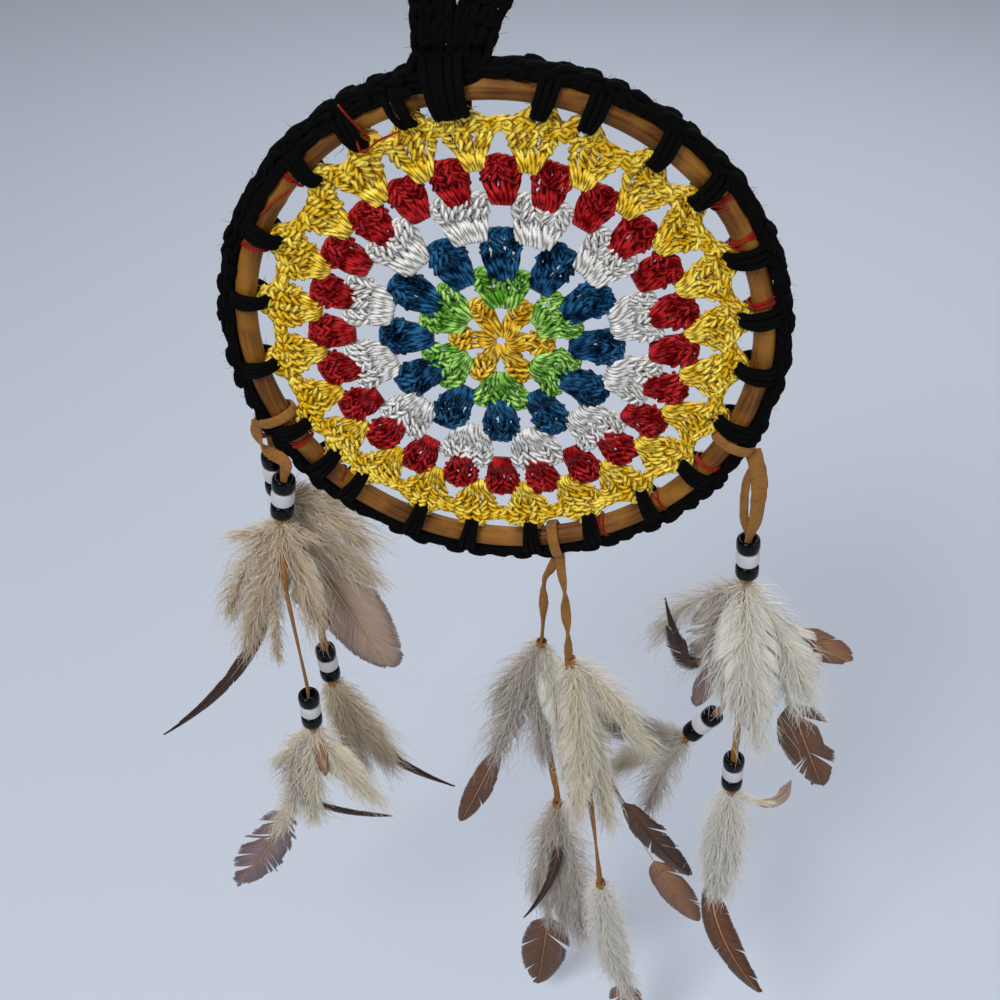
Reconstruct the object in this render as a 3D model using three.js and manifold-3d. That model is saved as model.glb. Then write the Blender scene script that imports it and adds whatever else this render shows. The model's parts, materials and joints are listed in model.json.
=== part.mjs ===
import * as THREE from "three";
import { mergeVertices } from "three/addons/utils/BufferGeometryUtils.js";
import Module from "manifold-3d";

const wasm = await Module();
wasm.setup();

// Sizes in millimetres. Angles in degrees, counted in the hoop's plane from +X towards +Z.
const hoopDiameter = 180;
const rodDiameter = 7.5;
const caneNodeSwell = 0.35;
const caneNodeAngles = [32, 146, 284];
const gap = 0.3;

// Crocheted rounds: how far each reaches from the centre, as a share of the hoop's inner radius, and the
// width of one stitch cluster.
const cottonDepth = 3.6;
const chainDepth = 1.7;
const chainSag = 3;
const headRound = 1.2;
const footRise = 1.45;
const eyeDiameter = 3.4;
const petalShare = 0.206;
const petalWidth = 10.4;
const greenShare = 0.327;
const greenWidth = 6.2;
const blueShare = 0.497;
const blueWidth = 11.6;
const whiteShare = 0.6485;
const whiteWidth = 6.4;
const redShare = 0.784;
const redWidth = 11.2;
const fanWidth = 15;
const bandWidth = 6;
const bandInset = 6.7;
const pointWidth = 8;

// Edging: a chain round the outside of the rod, with one leg over the rod to each point of the border.
const edgingWidth = 4.2;
const edgingDepth = 5.2;
const legThickness = 2;
const legWidth = 4;
const noseInset = 3.9;
const firstStitchAngle = 82.5;
const stitchStep = 15;
const stitchDrift = [
  -1, 4, 3, 5.5, 3.5, 3, 4, 3, 2, 2, 1, 0.5, -0.5, 0.5, -2.5, 3, 5.5, 2, -0.5, -3, -7, -5.5, -2, 3,
];

// Hanger: the strap base round the hoop, and the open loop above it.
const strapWidth = 15.5;
const strapThickness = 2.2;
const bendRadius = 3;
const loopDepth = 5.2;
const loopHeight = 57.5;
const hookDrop = 46;
const loopLean = 0.157;
const loopHalfWidth = 18.5;
const openingHalfWidth = 6.5;

// Pendants: suede lace, beads and feathers. The table of pendants further on counts in pendantUnit.
const pendantUnit = 1;
const laceWidth = 3.2;
const laceThickness = 1.2;
const exitGap = 1.8;
const tailGap = 0.8;
const frontDepth = 4.6;
const tailDepth = 13;
const beadDiameter = 9;
const beadLength = 6;
const beadBore = 4.8;
const collarDiameter = 6.4;
const collarLength = 5;
const downThickness = 7.6;
const vaneThickness = 2;

const rodRadius = rodDiameter / 2;
const hoopRadius = hoopDiameter / 2 - rodRadius;
const hoopInner = hoopRadius - rodRadius;
const petalReach = hoopInner * petalShare;
const greenReach = hoopInner * greenShare;
const blueReach = hoopInner * blueShare;
const whiteReach = hoopInner * whiteShare;
const redReach = hoopInner * redShare;
const noseRadius = hoopInner - noseInset;
const bandRadius = hoopInner - bandInset;
const edgingInner = hoopDiameter / 2 + gap + 0.2;
const edgingOuter = edgingInner + edgingWidth;
const stackLength = 3 * beadLength + 2 * gap;

const yAxis = new THREE.Vector3(0, 1, 0);
const radians = THREE.MathUtils.degToRad;

function polar(radius, angle) {
  const turn = radians(angle);
  return new THREE.Vector3(radius * Math.cos(turn), 0, radius * Math.sin(turn));
}

function bare(geometry) {
  const plain = new THREE.BufferGeometry();
  plain.setAttribute("position", geometry.getAttribute("position"));
  plain.setIndex(geometry.index);
  return mergeVertices(plain, 1e-4);
}

function solidOf(geometry) {
  const merged = bare(geometry);
  return new wasm.Manifold(
    new wasm.Mesh({
      numProp: 3,
      vertProperties: new Float32Array(merged.getAttribute("position").array),
      triVerts: new Uint32Array(merged.index.array),
    }),
  );
}

function geometryOf(solid) {
  const mesh = solid.getMesh();
  const geometry = new THREE.BufferGeometry();
  geometry.setAttribute("position", new THREE.BufferAttribute(mesh.vertProperties.slice(), 3));
  geometry.setIndex(new THREE.BufferAttribute(mesh.triVerts.slice(), 1));
  geometry.computeVertexNormals();
  return geometry;
}

function join(solids) {
  return solids.reduce((whole, part) => whole.add(part));
}

// A cut can leave crumbs of yarn: only the largest body stays.
function largest(solid) {
  return solid.decompose().reduce((best, part) => (part.volume() > best.volume() ? part : best));
}

// A closed skin through rings, each with a centre and two half axes u and v, with u x v along the run.
function loft(rings, sides, endless = false) {
  const points = [];
  for (const { at, u, v } of rings) {
    for (let i = 0; i < sides; i += 1) {
      const turn = (2 * Math.PI * (i + 0.5)) / sides;
      points.push(at.clone().addScaledVector(u, Math.cos(turn)).addScaledVector(v, Math.sin(turn)));
    }
  }
  const faces = [];
  const spans = endless ? rings.length : rings.length - 1;
  for (let r = 0; r < spans; r += 1) {
    const near = r * sides;
    const far = ((r + 1) % rings.length) * sides;
    for (let i = 0; i < sides; i += 1) {
      const j = (i + 1) % sides;
      faces.push(near + i, near + j, far + j, near + i, far + j, far + i);
    }
  }
  if (!endless) {
    const last = (rings.length - 1) * sides;
    for (let i = 1; i < sides - 1; i += 1) {
      faces.push(0, i + 1, i, last, last + i, last + i + 1);
    }
  }
  const geometry = new THREE.BufferGeometry().setFromPoints(points);
  geometry.setIndex(faces);
  return geometry;
}

// A closed ring of yarn: each station spans the hoop's plane from an inner to an outer point.
function yarnRing(stations, sides) {
  const rings = stations.map(({ inner, outer, depth }) => ({
    at: inner.clone().lerp(outer, 0.5),
    u: yAxis.clone().multiplyScalar(depth / 2),
    v: inner.clone().sub(outer).multiplyScalar(0.5),
  }));
  return loft(rings, sides, true);
}

// A round runs through its clusters, each from foot to head, and through the chain that sags between them.
function roundGeometry({ heads, feet, footRadius, reach, footWidth, headWidth, valley }) {
  const footHalf = THREE.MathUtils.radToDeg(footWidth / 2 / footRadius);
  const headHalf = THREE.MathUtils.radToDeg(headWidth / 2 / reach);
  const stations = heads.flatMap((angle, k) => {
    const next = heads[(k + 1) % heads.length] + (k + 1 === heads.length ? 360 : 0);
    const between = (angle + next) / 2;
    const side = (way) => ({
      inner: polar(footRadius, feet[k] + way * footHalf),
      outer: polar(reach - headRound, angle + way * headHalf),
      depth: cottonDepth * 0.8,
    });
    return [
      side(-1),
      { inner: polar(footRadius, feet[k]), outer: polar(reach, angle), depth: cottonDepth },
      side(1),
      { inner: polar(valley[0], between), outer: polar(valley[1], between), depth: chainDepth },
    ];
  });
  return yarnRing(stations, 6);
}

const evenly = (count, start) => Array.from({ length: count }, (_, k) => start + (360 / count) * k);
const pairs = (count, start, spread) => evenly(count, start).flatMap((a) => [a - spread, a + spread]);
const chainAt = (reach) => [reach - chainSag - chainDepth, reach - chainSag];
const footOn = (reach) => reach - chainSag + footRise;

const petals = {
  heads: evenly(6, 0),
  feet: evenly(6, 0),
  footRadius: eyeDiameter / 2,
  reach: petalReach,
  footWidth: eyeDiameter / 3,
  headWidth: petalWidth,
  valley: [eyeDiameter / 2, petalReach - chainSag],
};
const greens = {
  heads: pairs(6, 30, 14),
  feet: pairs(6, 30, 6),
  footRadius: footOn(petalReach),
  reach: greenReach,
  footWidth: greenWidth * 0.36,
  headWidth: greenWidth,
  valley: chainAt(greenReach),
};
const blues = {
  heads: evenly(12, 0),
  feet: evenly(12, 0),
  footRadius: footOn(greenReach),
  reach: blueReach,
  footWidth: blueWidth * 0.4,
  headWidth: blueWidth,
  valley: chainAt(blueReach),
};
const whites = {
  heads: pairs(12, 15, 6),
  feet: pairs(12, 15, 3),
  footRadius: footOn(blueReach),
  reach: whiteReach,
  footWidth: whiteWidth * 0.45,
  headWidth: whiteWidth,
  valley: chainAt(whiteReach),
};
const reds = {
  heads: evenly(24, 0),
  feet: evenly(24, 0),
  footRadius: footOn(whiteReach),
  reach: redReach,
  footWidth: redWidth * 0.35,
  headWidth: redWidth,
  valley: chainAt(redReach),
};

// A band round the rod in a radial plane, between an inner and an outer radius from the hoop's centre.
function rodBand(angle, inner, outer, halfDepth, thickness, width, sides) {
  const middle = (inner + outer) / 2;
  const half = (outer - inner) / 2;
  const ring = (offset) =>
    new THREE.EllipseCurve(middle, 0, half + offset, halfDepth + offset, 0, 2 * Math.PI).getPoints(sides);
  const shape = new THREE.Shape(ring(thickness / 2));
  shape.holes.push(new THREE.Path(ring(-thickness / 2)));
  const geometry = new THREE.ExtrudeGeometry(shape, { depth: width, bevelEnabled: false, curveSegments: 1 });
  geometry.translate(0, 0, -width / 2);
  geometry.rotateY(-radians(angle));
  return solidOf(geometry);
}

const stitchAngles = stitchDrift.map((drift, k) => firstStitchAngle - stitchStep * k + drift);
const strapAngle = stitchAngles.pop();
const legOuter = edgingInner + edgingWidth / 4;
const legHalfDepth = rodRadius + gap + legThickness / 2 + 0.65;
const strapOuter = edgingOuter + gap + strapThickness / 2;

// The slot in the border through which a leg or the strap passes.
function slot(angle, thickness, width) {
  const box = new THREE.BoxGeometry(thickness + 2 * gap + 1, 2 * cottonDepth, width + 2 * gap);
  box.translate(noseRadius + 0.5, 0, 0);
  box.rotateY(-radians(angle));
  return solidOf(box);
}

function edgingSolid() {
  const stations = evenly(60, 0).map((angle, k) => ({
    inner: polar(edgingInner, angle),
    outer: polar(edgingOuter - (k % 2) * edgingWidth * 0.14, angle),
    depth: edgingDepth * (k % 2 ? 0.9 : 1),
  }));
  const legs = stitchAngles.map((angle) =>
    rodBand(angle, noseRadius, legOuter, legHalfDepth, legThickness, legWidth, 8),
  );
  return join([solidOf(yarnRing(stations, 6)), ...legs]);
}

// Fans stand between the red heads and run together in a band; a point is drawn out of it at each stitch.
function borderSolid() {
  const footRadius = footOn(redReach);
  const bandInner = bandRadius - bandWidth / 2;
  const bandOuter = bandRadius + bandWidth / 2;
  const half = THREE.MathUtils.radToDeg(fanWidth / 2 / bandRadius);
  const stations = evenly(24, 7.5).flatMap((angle) => [
    { inner: polar(bandInner, angle - half), outer: polar(bandOuter, angle - half), depth: cottonDepth * 0.8 },
    { inner: polar(footRadius, angle - 0.8), outer: polar(bandOuter, angle - 2), depth: cottonDepth },
    { inner: polar(footRadius, angle + 0.8), outer: polar(bandOuter, angle + 2), depth: cottonDepth },
    { inner: polar(bandInner, angle + half), outer: polar(bandOuter, angle + half), depth: cottonDepth * 0.8 },
  ]);
  const pointTip = hoopInner - gap - 0.1;
  const pointShape = [
    [bandRadius, pointWidth, cottonDepth],
    [pointTip, pointWidth * 0.45, cottonDepth * 0.8],
  ];
  const points = [...stitchAngles, strapAngle].map((angle) => {
    const across = polar(1, angle).cross(yAxis);
    const rings = pointShape.map(([radius, width, depth]) => ({
      at: polar(radius, angle),
      u: yAxis.clone().multiplyScalar(depth / 2),
      v: across.clone().multiplyScalar(width / 2),
    }));
    return solidOf(loft(rings, 6));
  });
  const slots = stitchAngles.map((angle) => slot(angle, legThickness, legWidth));
  slots.push(slot(strapAngle, strapThickness, strapWidth));
  return largest(join([solidOf(yarnRing(stations, 6)), ...points]).subtract(join(slots)));
}

function hoopGeometry() {
  const torus = new THREE.TorusGeometry(hoopRadius, rodRadius, 8, 60).rotateX(Math.PI / 2);
  const geometry = bare(torus);
  const position = geometry.getAttribute("position");
  const point = new THREE.Vector3();
  for (let i = 0; i < position.count; i += 1) {
    point.fromBufferAttribute(position, i);
    const angle = THREE.MathUtils.radToDeg(Math.atan2(point.z, point.x));
    const swell = caneNodeAngles.some((node) => Math.cos(radians(angle - node)) > Math.cos(radians(1)));
    if (swell) {
      const centre = polar(hoopRadius, angle);
      point.sub(centre).multiplyScalar(1 + caneNodeSwell / rodRadius).add(centre);
      position.setXYZ(i, point.x, point.y, point.z);
    }
  }
  return geometry;
}

// The strap base and the loop meet at a bend whose axis runs along X.
const strapX = hoopRadius * Math.cos(radians(strapAngle));
const strapTop = (strapOuter + strapThickness / 2) * Math.sin(radians(strapAngle));
const bendHeight = strapTop + bendRadius + 1;
const hoopCentre = new THREE.Vector3(
  -strapX - loopLean * hookDrop,
  0,
  -hookDrop - gap - bendRadius - bendHeight,
);

function strapBaseSolid() {
  const profile = new THREE.Shape();
  profile.moveTo(-bendRadius, strapTop - gap);
  profile.lineTo(bendRadius, strapTop - gap);
  profile.lineTo(bendRadius, bendHeight);
  profile.absarc(0, bendHeight, bendRadius, 0, Math.PI);
  const neck = new THREE.ExtrudeGeometry(profile, { depth: strapWidth, bevelEnabled: false, curveSegments: 5 });
  neck.rotateX(Math.PI / 2).rotateZ(Math.PI / 2);
  neck.translate(strapX - strapWidth / 2, 0, 0);
  const halfDepth = legHalfDepth + 0.5;
  const band = rodBand(strapAngle, noseRadius, strapOuter, halfDepth, strapThickness, strapWidth, 14);
  return band.add(solidOf(neck));
}

// Outline and opening of the hanging loop, drawn up from the bend and leaning towards the hook.
function loopGeometry() {
  const lean = ([x, z]) => new THREE.Vector2(x + loopLean * z, z);
  const mirrored = (half) => [...half, ...half.map(([x, z]) => [-x, z]).reverse()];
  const outerHalf = [
    [strapWidth / 2, 0],
    [loopHalfWidth * 0.62, 2.5],
    [loopHalfWidth * 0.78, loopHeight * 0.16],
    [loopHalfWidth * 0.95, loopHeight * 0.36],
    [loopHalfWidth, loopHeight * 0.53],
    [loopHalfWidth * 0.91, loopHeight * 0.74],
    [loopHalfWidth * 0.56, loopHeight * 0.92],
    [loopHalfWidth * 0.16, loopHeight],
  ];
  const openingHalf = [
    [0.4, hookDrop * 0.09],
    [openingHalfWidth * 0.4, hookDrop * 0.26],
    [openingHalfWidth * 0.85, hookDrop * 0.46],
    [openingHalfWidth, hookDrop * 0.65],
    [openingHalfWidth * 0.85, hookDrop * 0.86],
    [openingHalfWidth * 0.4, hookDrop],
  ];
  const shape = new THREE.Shape(mirrored(outerHalf).map(lean));
  shape.holes.push(new THREE.Path(mirrored(openingHalf).map(lean)));
  const bevel = loopDepth * 0.25;
  const geometry = new THREE.ExtrudeGeometry(shape, {
    depth: loopDepth - 2 * bevel,
    bevelThickness: bevel,
    bevelSize: bevel,
    bevelOffset: -bevel,
    bevelSegments: 1,
    curveSegments: 1,
  });
  geometry.translate(0, 0, bevel - loopDepth / 2);
  geometry.rotateX(Math.PI / 2);
  geometry.translate(-loopLean * hookDrop, 0, -hookDrop);
  return geometry;
}

function laceSection(grow) {
  const thick = laceThickness / 2 + grow;
  const wide = laceWidth / 2 + grow;
  const cut = laceThickness / 4;
  const corner = [
    [thick, wide - cut],
    [thick - cut, wide],
  ];
  const quarter = ([x, y]) => new THREE.Vector2(x, y);
  const points = [
    ...corner.map(quarter),
    ...corner.map(([x, y]) => new THREE.Vector2(-x, y)).reverse(),
    ...corner.map(([x, y]) => new THREE.Vector2(-x, -y)),
    ...corner.map(([x, y]) => new THREE.Vector2(x, -y)).reverse(),
  ];
  return new THREE.Shape(points);
}

function lace(points, grow = 0) {
  const extrudePath = new THREE.CatmullRomCurve3(points);
  const steps = Math.max(4, Math.round(extrudePath.getLength() / (3 * laceWidth)));
  return new THREE.ExtrudeGeometry(laceSection(grow), { steps, extrudePath, bevelEnabled: false });
}

const beadProfile = [
  [beadBore / 2, -0.5],
  [beadDiameter * 0.38, -0.5],
  [beadDiameter / 2, -0.22],
  [beadDiameter / 2, 0.22],
  [beadDiameter * 0.38, 0.5],
  [beadBore / 2, 0.5],
  [beadBore / 2, -0.5],
].map(([radius, share]) => new THREE.Vector2(radius, share * beadLength));
const beadGeometry = new THREE.LatheGeometry(beadProfile, 9);

// A feather from its root: down is full and soft, a vane is thin and flat.
function plume(root, { turn, reach, width, bow = 0, vane = false }) {
  const heading = new THREE.Vector3(Math.sin(radians(turn)), 0, -Math.cos(radians(turn)));
  const side = heading.clone().cross(yAxis);
  const tip = root.clone().addScaledVector(heading, reach * pendantUnit);
  const bend = root.clone().lerp(tip, 0.5).addScaledVector(side, 2 * bow * pendantUnit);
  const spine = new THREE.QuadraticBezierCurve3(root, bend, tip);
  const half = (vane ? vaneThickness : downThickness) / 2;
  const profile = vane
    ? [[0, 0.3, 1], [0.45, 0.85, 1], [0.75, 1, 0.9], [1, 0.12, 0.4]]
    : [[0, 0.2, 0.5], [0.3, 0.9, 1], [0.7, 1, 0.9], [1, 0.25, 0.35]];
  const rings = profile.map(([share, wide, deep]) => {
    const along = spine.getTangent(share);
    return {
      at: spine.getPoint(share),
      u: yAxis.clone().multiplyScalar(half * deep),
      v: along.cross(yAxis).multiplyScalar((width / 2) * pendantUnit * wide),
    };
  });
  return solidOf(loft(rings, 6));
}

// Feathers bound in one collar; a lace that runs on through the tuft leaves its channel.
function tuft(top, heading, plumes, channels) {
  const collar = new THREE.CylinderGeometry(collarDiameter / 2, collarDiameter / 2, collarLength, 8);
  const frame = new THREE.Quaternion().setFromUnitVectors(yAxis, heading);
  collar.translate(0, collarLength / 2, 0);
  collar.applyQuaternion(frame);
  collar.translate(top.x, top.y, top.z);
  const root = top.clone().addScaledVector(heading, collarLength * 0.6);
  const whole = join([solidOf(collar), ...plumes.map((spec) => plume(root, spec))]);
  return channels.reduce((left, path) => left.subtract(solidOf(lace(path, gap))), whole);
}

const headingOf = (tilt) => new THREE.Vector3(Math.sin(radians(tilt)), 0, -Math.cos(radians(tilt)));

// Pendants, each from the angle where its lace is folded over the hoop. Offsets run from the exit point.
// Offsets, reaches, widths and bows count in pendantUnit.
const pendants = [
  {
    name: "left",
    angle: 204,
    down: "#c9a27a",
    strands: [
      {
        name: "front",
        side: -1,
        lead: [3, -10],
        stack: { at: [9.9, -21.1], tilt: -9 },
        plumes: [
          { turn: -16.6, reach: 75, width: 30 },
          { turn: 6, reach: 65, width: 26 },
          { turn: -27, reach: 160, width: 9, bow: 12, vane: true },
        ],
        pivot: [7.1, -70.5],
        tail: { at: [10, -129.8], tilt: 0 },
        tailPlumes: [
          { turn: -22.7, reach: 138, width: 22, bow: 2 },
          { turn: 28, reach: 66, width: 18 },
        ],
      },
      {
        name: "back",
        side: 1,
        lead: [1.2, -8],
        stack: { at: [3.6, -17.3], tilt: 0 },
        plumes: [
          { turn: 23.7, reach: 97, width: 20, vane: true },
          { turn: 18, reach: 52, width: 24 },
        ],
        pivot: [10, -88],
        tail: { at: [11.4, -128.8], tilt: 4 },
        tailPlumes: [{ turn: 39, reach: 87, width: 18, bow: -7 }],
      },
    ],
  },
  {
    name: "centre",
    angle: -76.5,
    down: "#e6d9c4",
    strands: [
      {
        name: "front",
        side: -1,
        lead: [1.6, -12.7],
        collar: { at: [5.1, -50.7], tilt: 4 },
        plumes: [
          { turn: 13.5, reach: 77, width: 28 },
          { turn: -4, reach: 58, width: 22 },
          { turn: 23.4, reach: 154, width: 12, bow: -11, vane: true },
          { turn: 20.2, reach: 186, width: 9, bow: -7, vane: true },
        ],
        pivot: [15.1, -109.7],
        tail: { at: [25.1, -189.2], tilt: 8 },
        tailPlumes: [
          { turn: 10.5, reach: 88, width: 28 },
          { turn: 12.2, reach: 122, width: 16, vane: true },
        ],
      },
      {
        name: "back",
        side: 1,
        lead: [-5.9, -14.7],
        collar: { at: [-6.4, -44.7], tilt: -2 },
        plumes: [
          { turn: -9.6, reach: 75, width: 26 },
          { turn: -15.9, reach: 130, width: 9, vane: true },
        ],
        pivot: [-2.9, -126.7],
        tail: { at: [2.5, -165.7], tilt: 2 },
        tailPlumes: [
          { turn: 3.4, reach: 95, width: 28 },
          { turn: -2.9, reach: 165, width: 20, vane: true },
          { turn: -9, reach: 98, width: 8, vane: true },
        ],
      },
    ],
  },
  {
    name: "right",
    angle: -23.5,
    down: "#eee8dc",
    strands: [
      {
        name: "front",
        side: -1,
        shared: true,
        lead: [2.2, -14],
        stack: { at: [1.7, -39.9], tilt: 5 },
        plumes: [
          { turn: -19, reach: 65, width: 26 },
          { turn: 6.8, reach: 90, width: 32 },
          { turn: 31.5, reach: 60, width: 24 },
          { turn: 22.4, reach: 125, width: 12, vane: true },
          { turn: 50, reach: 59, width: 9, vane: true },
          { turn: -49, reach: 41, width: 8, vane: true },
        ],
        pivot: [7.1, -110.9],
        tail: { at: [8.9, -149], tilt: 3 },
        tailPlumes: [
          { turn: 0.7, reach: 78, width: 26 },
          { turn: 11.9, reach: 165, width: 14, bow: -12, vane: true },
          { turn: 62, reach: 24, width: 12 },
        ],
      },
      {
        name: "back",
        side: 1,
        shared: true,
        lead: [-2.2, -14],
        stack: { at: [1.7, -39.9], tilt: 5 },
        plumes: [],
        pivot: [4.1, -120.9],
        tail: { at: [2.6, -152], tilt: -33 },
        tailPlumes: [
          { turn: -74, reach: 28, width: 18 },
          { turn: -15, reach: 47, width: 16 },
        ],
      },
    ],
  },
];

const group = new THREE.Group();
group.name = "dream_catcher";
const hoopFrame = new THREE.Group();
hoopFrame.position.copy(hoopCentre);
group.add(hoopFrame);

function place(parent, name, geometry, color, roughness) {
  const mesh = new THREE.Mesh(geometry, new THREE.MeshStandardMaterial({ color, roughness }));
  mesh.name = name;
  parent.add(mesh);
  return mesh;
}

place(group, "hanging_loop", loopGeometry(), "#131212", 0.95);
place(hoopFrame, "hanger_base", geometryOf(strapBaseSolid()), "#131212", 0.95);
place(hoopFrame, "hoop", hoopGeometry(), "#8a6340", 0.6);
place(hoopFrame, "edging", geometryOf(edgingSolid()), "#131212", 0.95);

const rounds = [
  ["flower_round", petals, "#c9a227"],
  ["green_round", greens, "#a9c832"],
  ["blue_round", blues, "#1f4f63"],
  ["white_round", whites, "#d9d6cc"],
  ["red_round", reds, "#b3202c"],
];
for (const [name, round, color] of rounds) {
  place(hoopFrame, name, roundGeometry(round), color, 0.5);
}
place(hoopFrame, "yellow_border", geometryOf(borderSolid()), "#f2e01c", 0.5);

const suede = "#a9825a";

function placeStack(parent, name, top, heading) {
  for (let k = 0; k < 3; k += 1) {
    const bead = place(parent, `${name}_bead_${k + 1}`, beadGeometry, k === 1 ? "#f1efe8" : "#0d0d0f", 0.15);
    bead.position.copy(top).addScaledVector(heading, beadLength / 2 + k * (beadLength + gap));
    bead.quaternion.setFromUnitVectors(yAxis, heading);
  }
}

for (const pendant of pendants) {
  const exitRadius = edgingOuter + gap + laceThickness + exitGap;
  const ringOuter = edgingOuter + gap + laceThickness / 2;
  const fold = rodBand(pendant.angle, hoopInner - 1.6, ringOuter, rodRadius + 1.5, laceThickness, laceWidth, 12);
  place(hoopFrame, `lace_fold_${pendant.name}`, geometryOf(fold), suede, 0.9);
  const exit = new THREE.Group();
  exit.position.copy(polar(exitRadius, pendant.angle));
  hoopFrame.add(exit);

  const upperPaths = [];
  for (const strand of pendant.strands) {
    const close = strand.side * (laceThickness / 2 + gap / 2);
    const depth = strand.shared ? close : strand.side * frontDepth;
    const at = ([x, z], y) => new THREE.Vector3(x * pendantUnit, y, z * pendantUnit);
    const hold = strand.stack ?? strand.collar;
    const heading = headingOf(hold.tilt);
    const length = strand.stack ? stackLength : collarLength;
    const spread = strand.shared ? 1.8 : 1;
    const top = at(hold.at, depth);
    const below = top.clone().addScaledVector(heading, length);
    const pivot = at(strand.pivot, strand.side * tailDepth);
    const path = [
      new THREE.Vector3(0, close, laceThickness / 4),
      at([strand.lead[0] / 4, strand.lead[1] / 2], close),
      at(strand.lead, (close + depth) / 2),
      top.clone().addScaledVector(heading, -2.2 * laceWidth),
      top,
      below.clone().addScaledVector(heading, -length / 6),
      below,
      below.clone().addScaledVector(heading, collarLength).setY(depth * spread),
      pivot.clone().add(new THREE.Vector3(0, 0, 2.5 * laceWidth)),
      pivot.clone().add(new THREE.Vector3(0, 0, tailGap / 2)),
    ];
    upperPaths.push(path);
    strand.made = { heading, top, below, pivot };
    const name = `${pendant.name}_${strand.name}`;
    place(exit, `lace_${name}`, lace(path), suede, 0.9);
    if (strand.stack && strand.plumes.length) {
      placeStack(exit, name, strand.shared ? top.clone().setY(0) : top, heading);
    }

    const tailHeading = headingOf(strand.tail.tilt);
    const tailTop = at(strand.tail.at, pivot.y);
    const tailLength = strand.stack ? stackLength : 0;
    const tailBelow = tailTop.clone().addScaledVector(tailHeading, tailLength);
    const tailEnd = tailBelow.clone().addScaledVector(tailHeading, strand.stack ? -gap : 0.8 * collarLength);
    const start = pivot.clone().add(new THREE.Vector3(0, 0, -tailGap / 2));
    const tailPath = [
      start,
      start.clone().lerp(tailTop, 0.5).add(new THREE.Vector3(0, 0, laceWidth * 0.6)),
      tailTop.clone().addScaledVector(tailHeading, -0.8 * collarLength),
      tailTop,
      tailEnd,
    ];
    place(exit, `lace_${name}_tail`, lace(tailPath), suede, 0.9);
    if (strand.stack) {
      placeStack(exit, `${name}_tail`, tailTop, tailHeading);
    }
    const tailRoot = tailBelow.clone().addScaledVector(tailHeading, strand.stack ? gap : 0);
    const channel = strand.stack ? [] : [tailPath];
    const tailTuft = tuft(tailRoot, tailHeading, strand.tailPlumes, channel);
    place(exit, `tuft_${name}_tail`, geometryOf(tailTuft), pendant.down, 0.9);
  }

  for (const strand of pendant.strands.filter((each) => each.plumes.length)) {
    const { heading, below } = strand.made;
    const root = below.clone().addScaledVector(heading, gap);
    if (strand.shared) {
      root.y = 0;
    }
    const upperTuft = tuft(root, heading, strand.plumes, upperPaths);
    place(exit, `tuft_${pendant.name}_${strand.name}`, geometryOf(largest(upperTuft)), pendant.down, 0.9);
  }
}

export default group;
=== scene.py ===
import json

import bpy
import numpy as np
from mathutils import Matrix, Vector


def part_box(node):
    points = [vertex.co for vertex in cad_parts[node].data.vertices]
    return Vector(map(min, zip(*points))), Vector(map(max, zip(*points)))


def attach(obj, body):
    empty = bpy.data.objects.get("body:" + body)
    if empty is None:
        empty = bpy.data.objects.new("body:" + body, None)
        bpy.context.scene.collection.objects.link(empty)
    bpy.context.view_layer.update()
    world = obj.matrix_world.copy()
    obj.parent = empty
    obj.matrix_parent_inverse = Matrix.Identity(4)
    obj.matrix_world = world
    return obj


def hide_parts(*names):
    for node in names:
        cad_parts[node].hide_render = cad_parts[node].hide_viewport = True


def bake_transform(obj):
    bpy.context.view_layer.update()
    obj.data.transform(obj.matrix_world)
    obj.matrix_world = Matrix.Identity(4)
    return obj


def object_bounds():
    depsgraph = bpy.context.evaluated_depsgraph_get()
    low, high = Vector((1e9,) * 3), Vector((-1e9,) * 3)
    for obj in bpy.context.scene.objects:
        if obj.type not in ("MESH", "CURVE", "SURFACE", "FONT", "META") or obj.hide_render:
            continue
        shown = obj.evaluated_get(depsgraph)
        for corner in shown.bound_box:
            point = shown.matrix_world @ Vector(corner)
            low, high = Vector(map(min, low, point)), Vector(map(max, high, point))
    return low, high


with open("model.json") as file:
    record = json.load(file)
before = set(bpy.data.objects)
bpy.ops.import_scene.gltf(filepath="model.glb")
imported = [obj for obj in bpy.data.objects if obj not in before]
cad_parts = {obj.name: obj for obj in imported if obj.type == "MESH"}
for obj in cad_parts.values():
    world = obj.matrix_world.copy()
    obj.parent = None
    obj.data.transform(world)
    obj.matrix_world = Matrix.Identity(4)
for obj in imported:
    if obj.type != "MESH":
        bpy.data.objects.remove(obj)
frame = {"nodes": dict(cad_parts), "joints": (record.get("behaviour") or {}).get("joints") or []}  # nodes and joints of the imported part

cadBox = [list(corner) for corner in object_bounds()]
mm = 0.001  # every size below is in millimetres, and goes to metres when a piece is made
away = np.array([0.0, 1.0, 0.0])  # the hoop's axis, from its front to its back
up = np.array([0.0, 0.0, 1.0])
pinAt = {joint["name"]: np.array(joint["pos_m"]) / mm for joint in frame["joints"]}
boxOf = {node: [np.array(corner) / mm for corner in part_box(node)] for node in frame["nodes"]}
hoopCentre = sum(boxOf["edging"]) / 2

cameraValues = {
    "position": (44.9, -352.1, 74.6),
    "pitchDown": 39.55,  # degrees below the horizon
    "turnLeft": 5.97,
    "lens": 44.83,
    "sensor": 36.0,
}


def makeCamera(values):
    data = bpy.data.cameras.new("camera")
    data.lens, data.sensor_width = values["lens"], values["sensor"]
    data.clip_start, data.clip_end = 0.01, 20
    camera = bpy.data.objects.new("camera", data)
    camera.location = [x * mm for x in values["position"]]
    camera.rotation_euler = np.radians([90 - values["pitchDown"], 0, values["turnLeft"]])
    bpy.context.scene.collection.objects.link(camera)
    bpy.context.scene.camera = camera


makeCamera(cameraValues)
print("camera placed")


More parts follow.
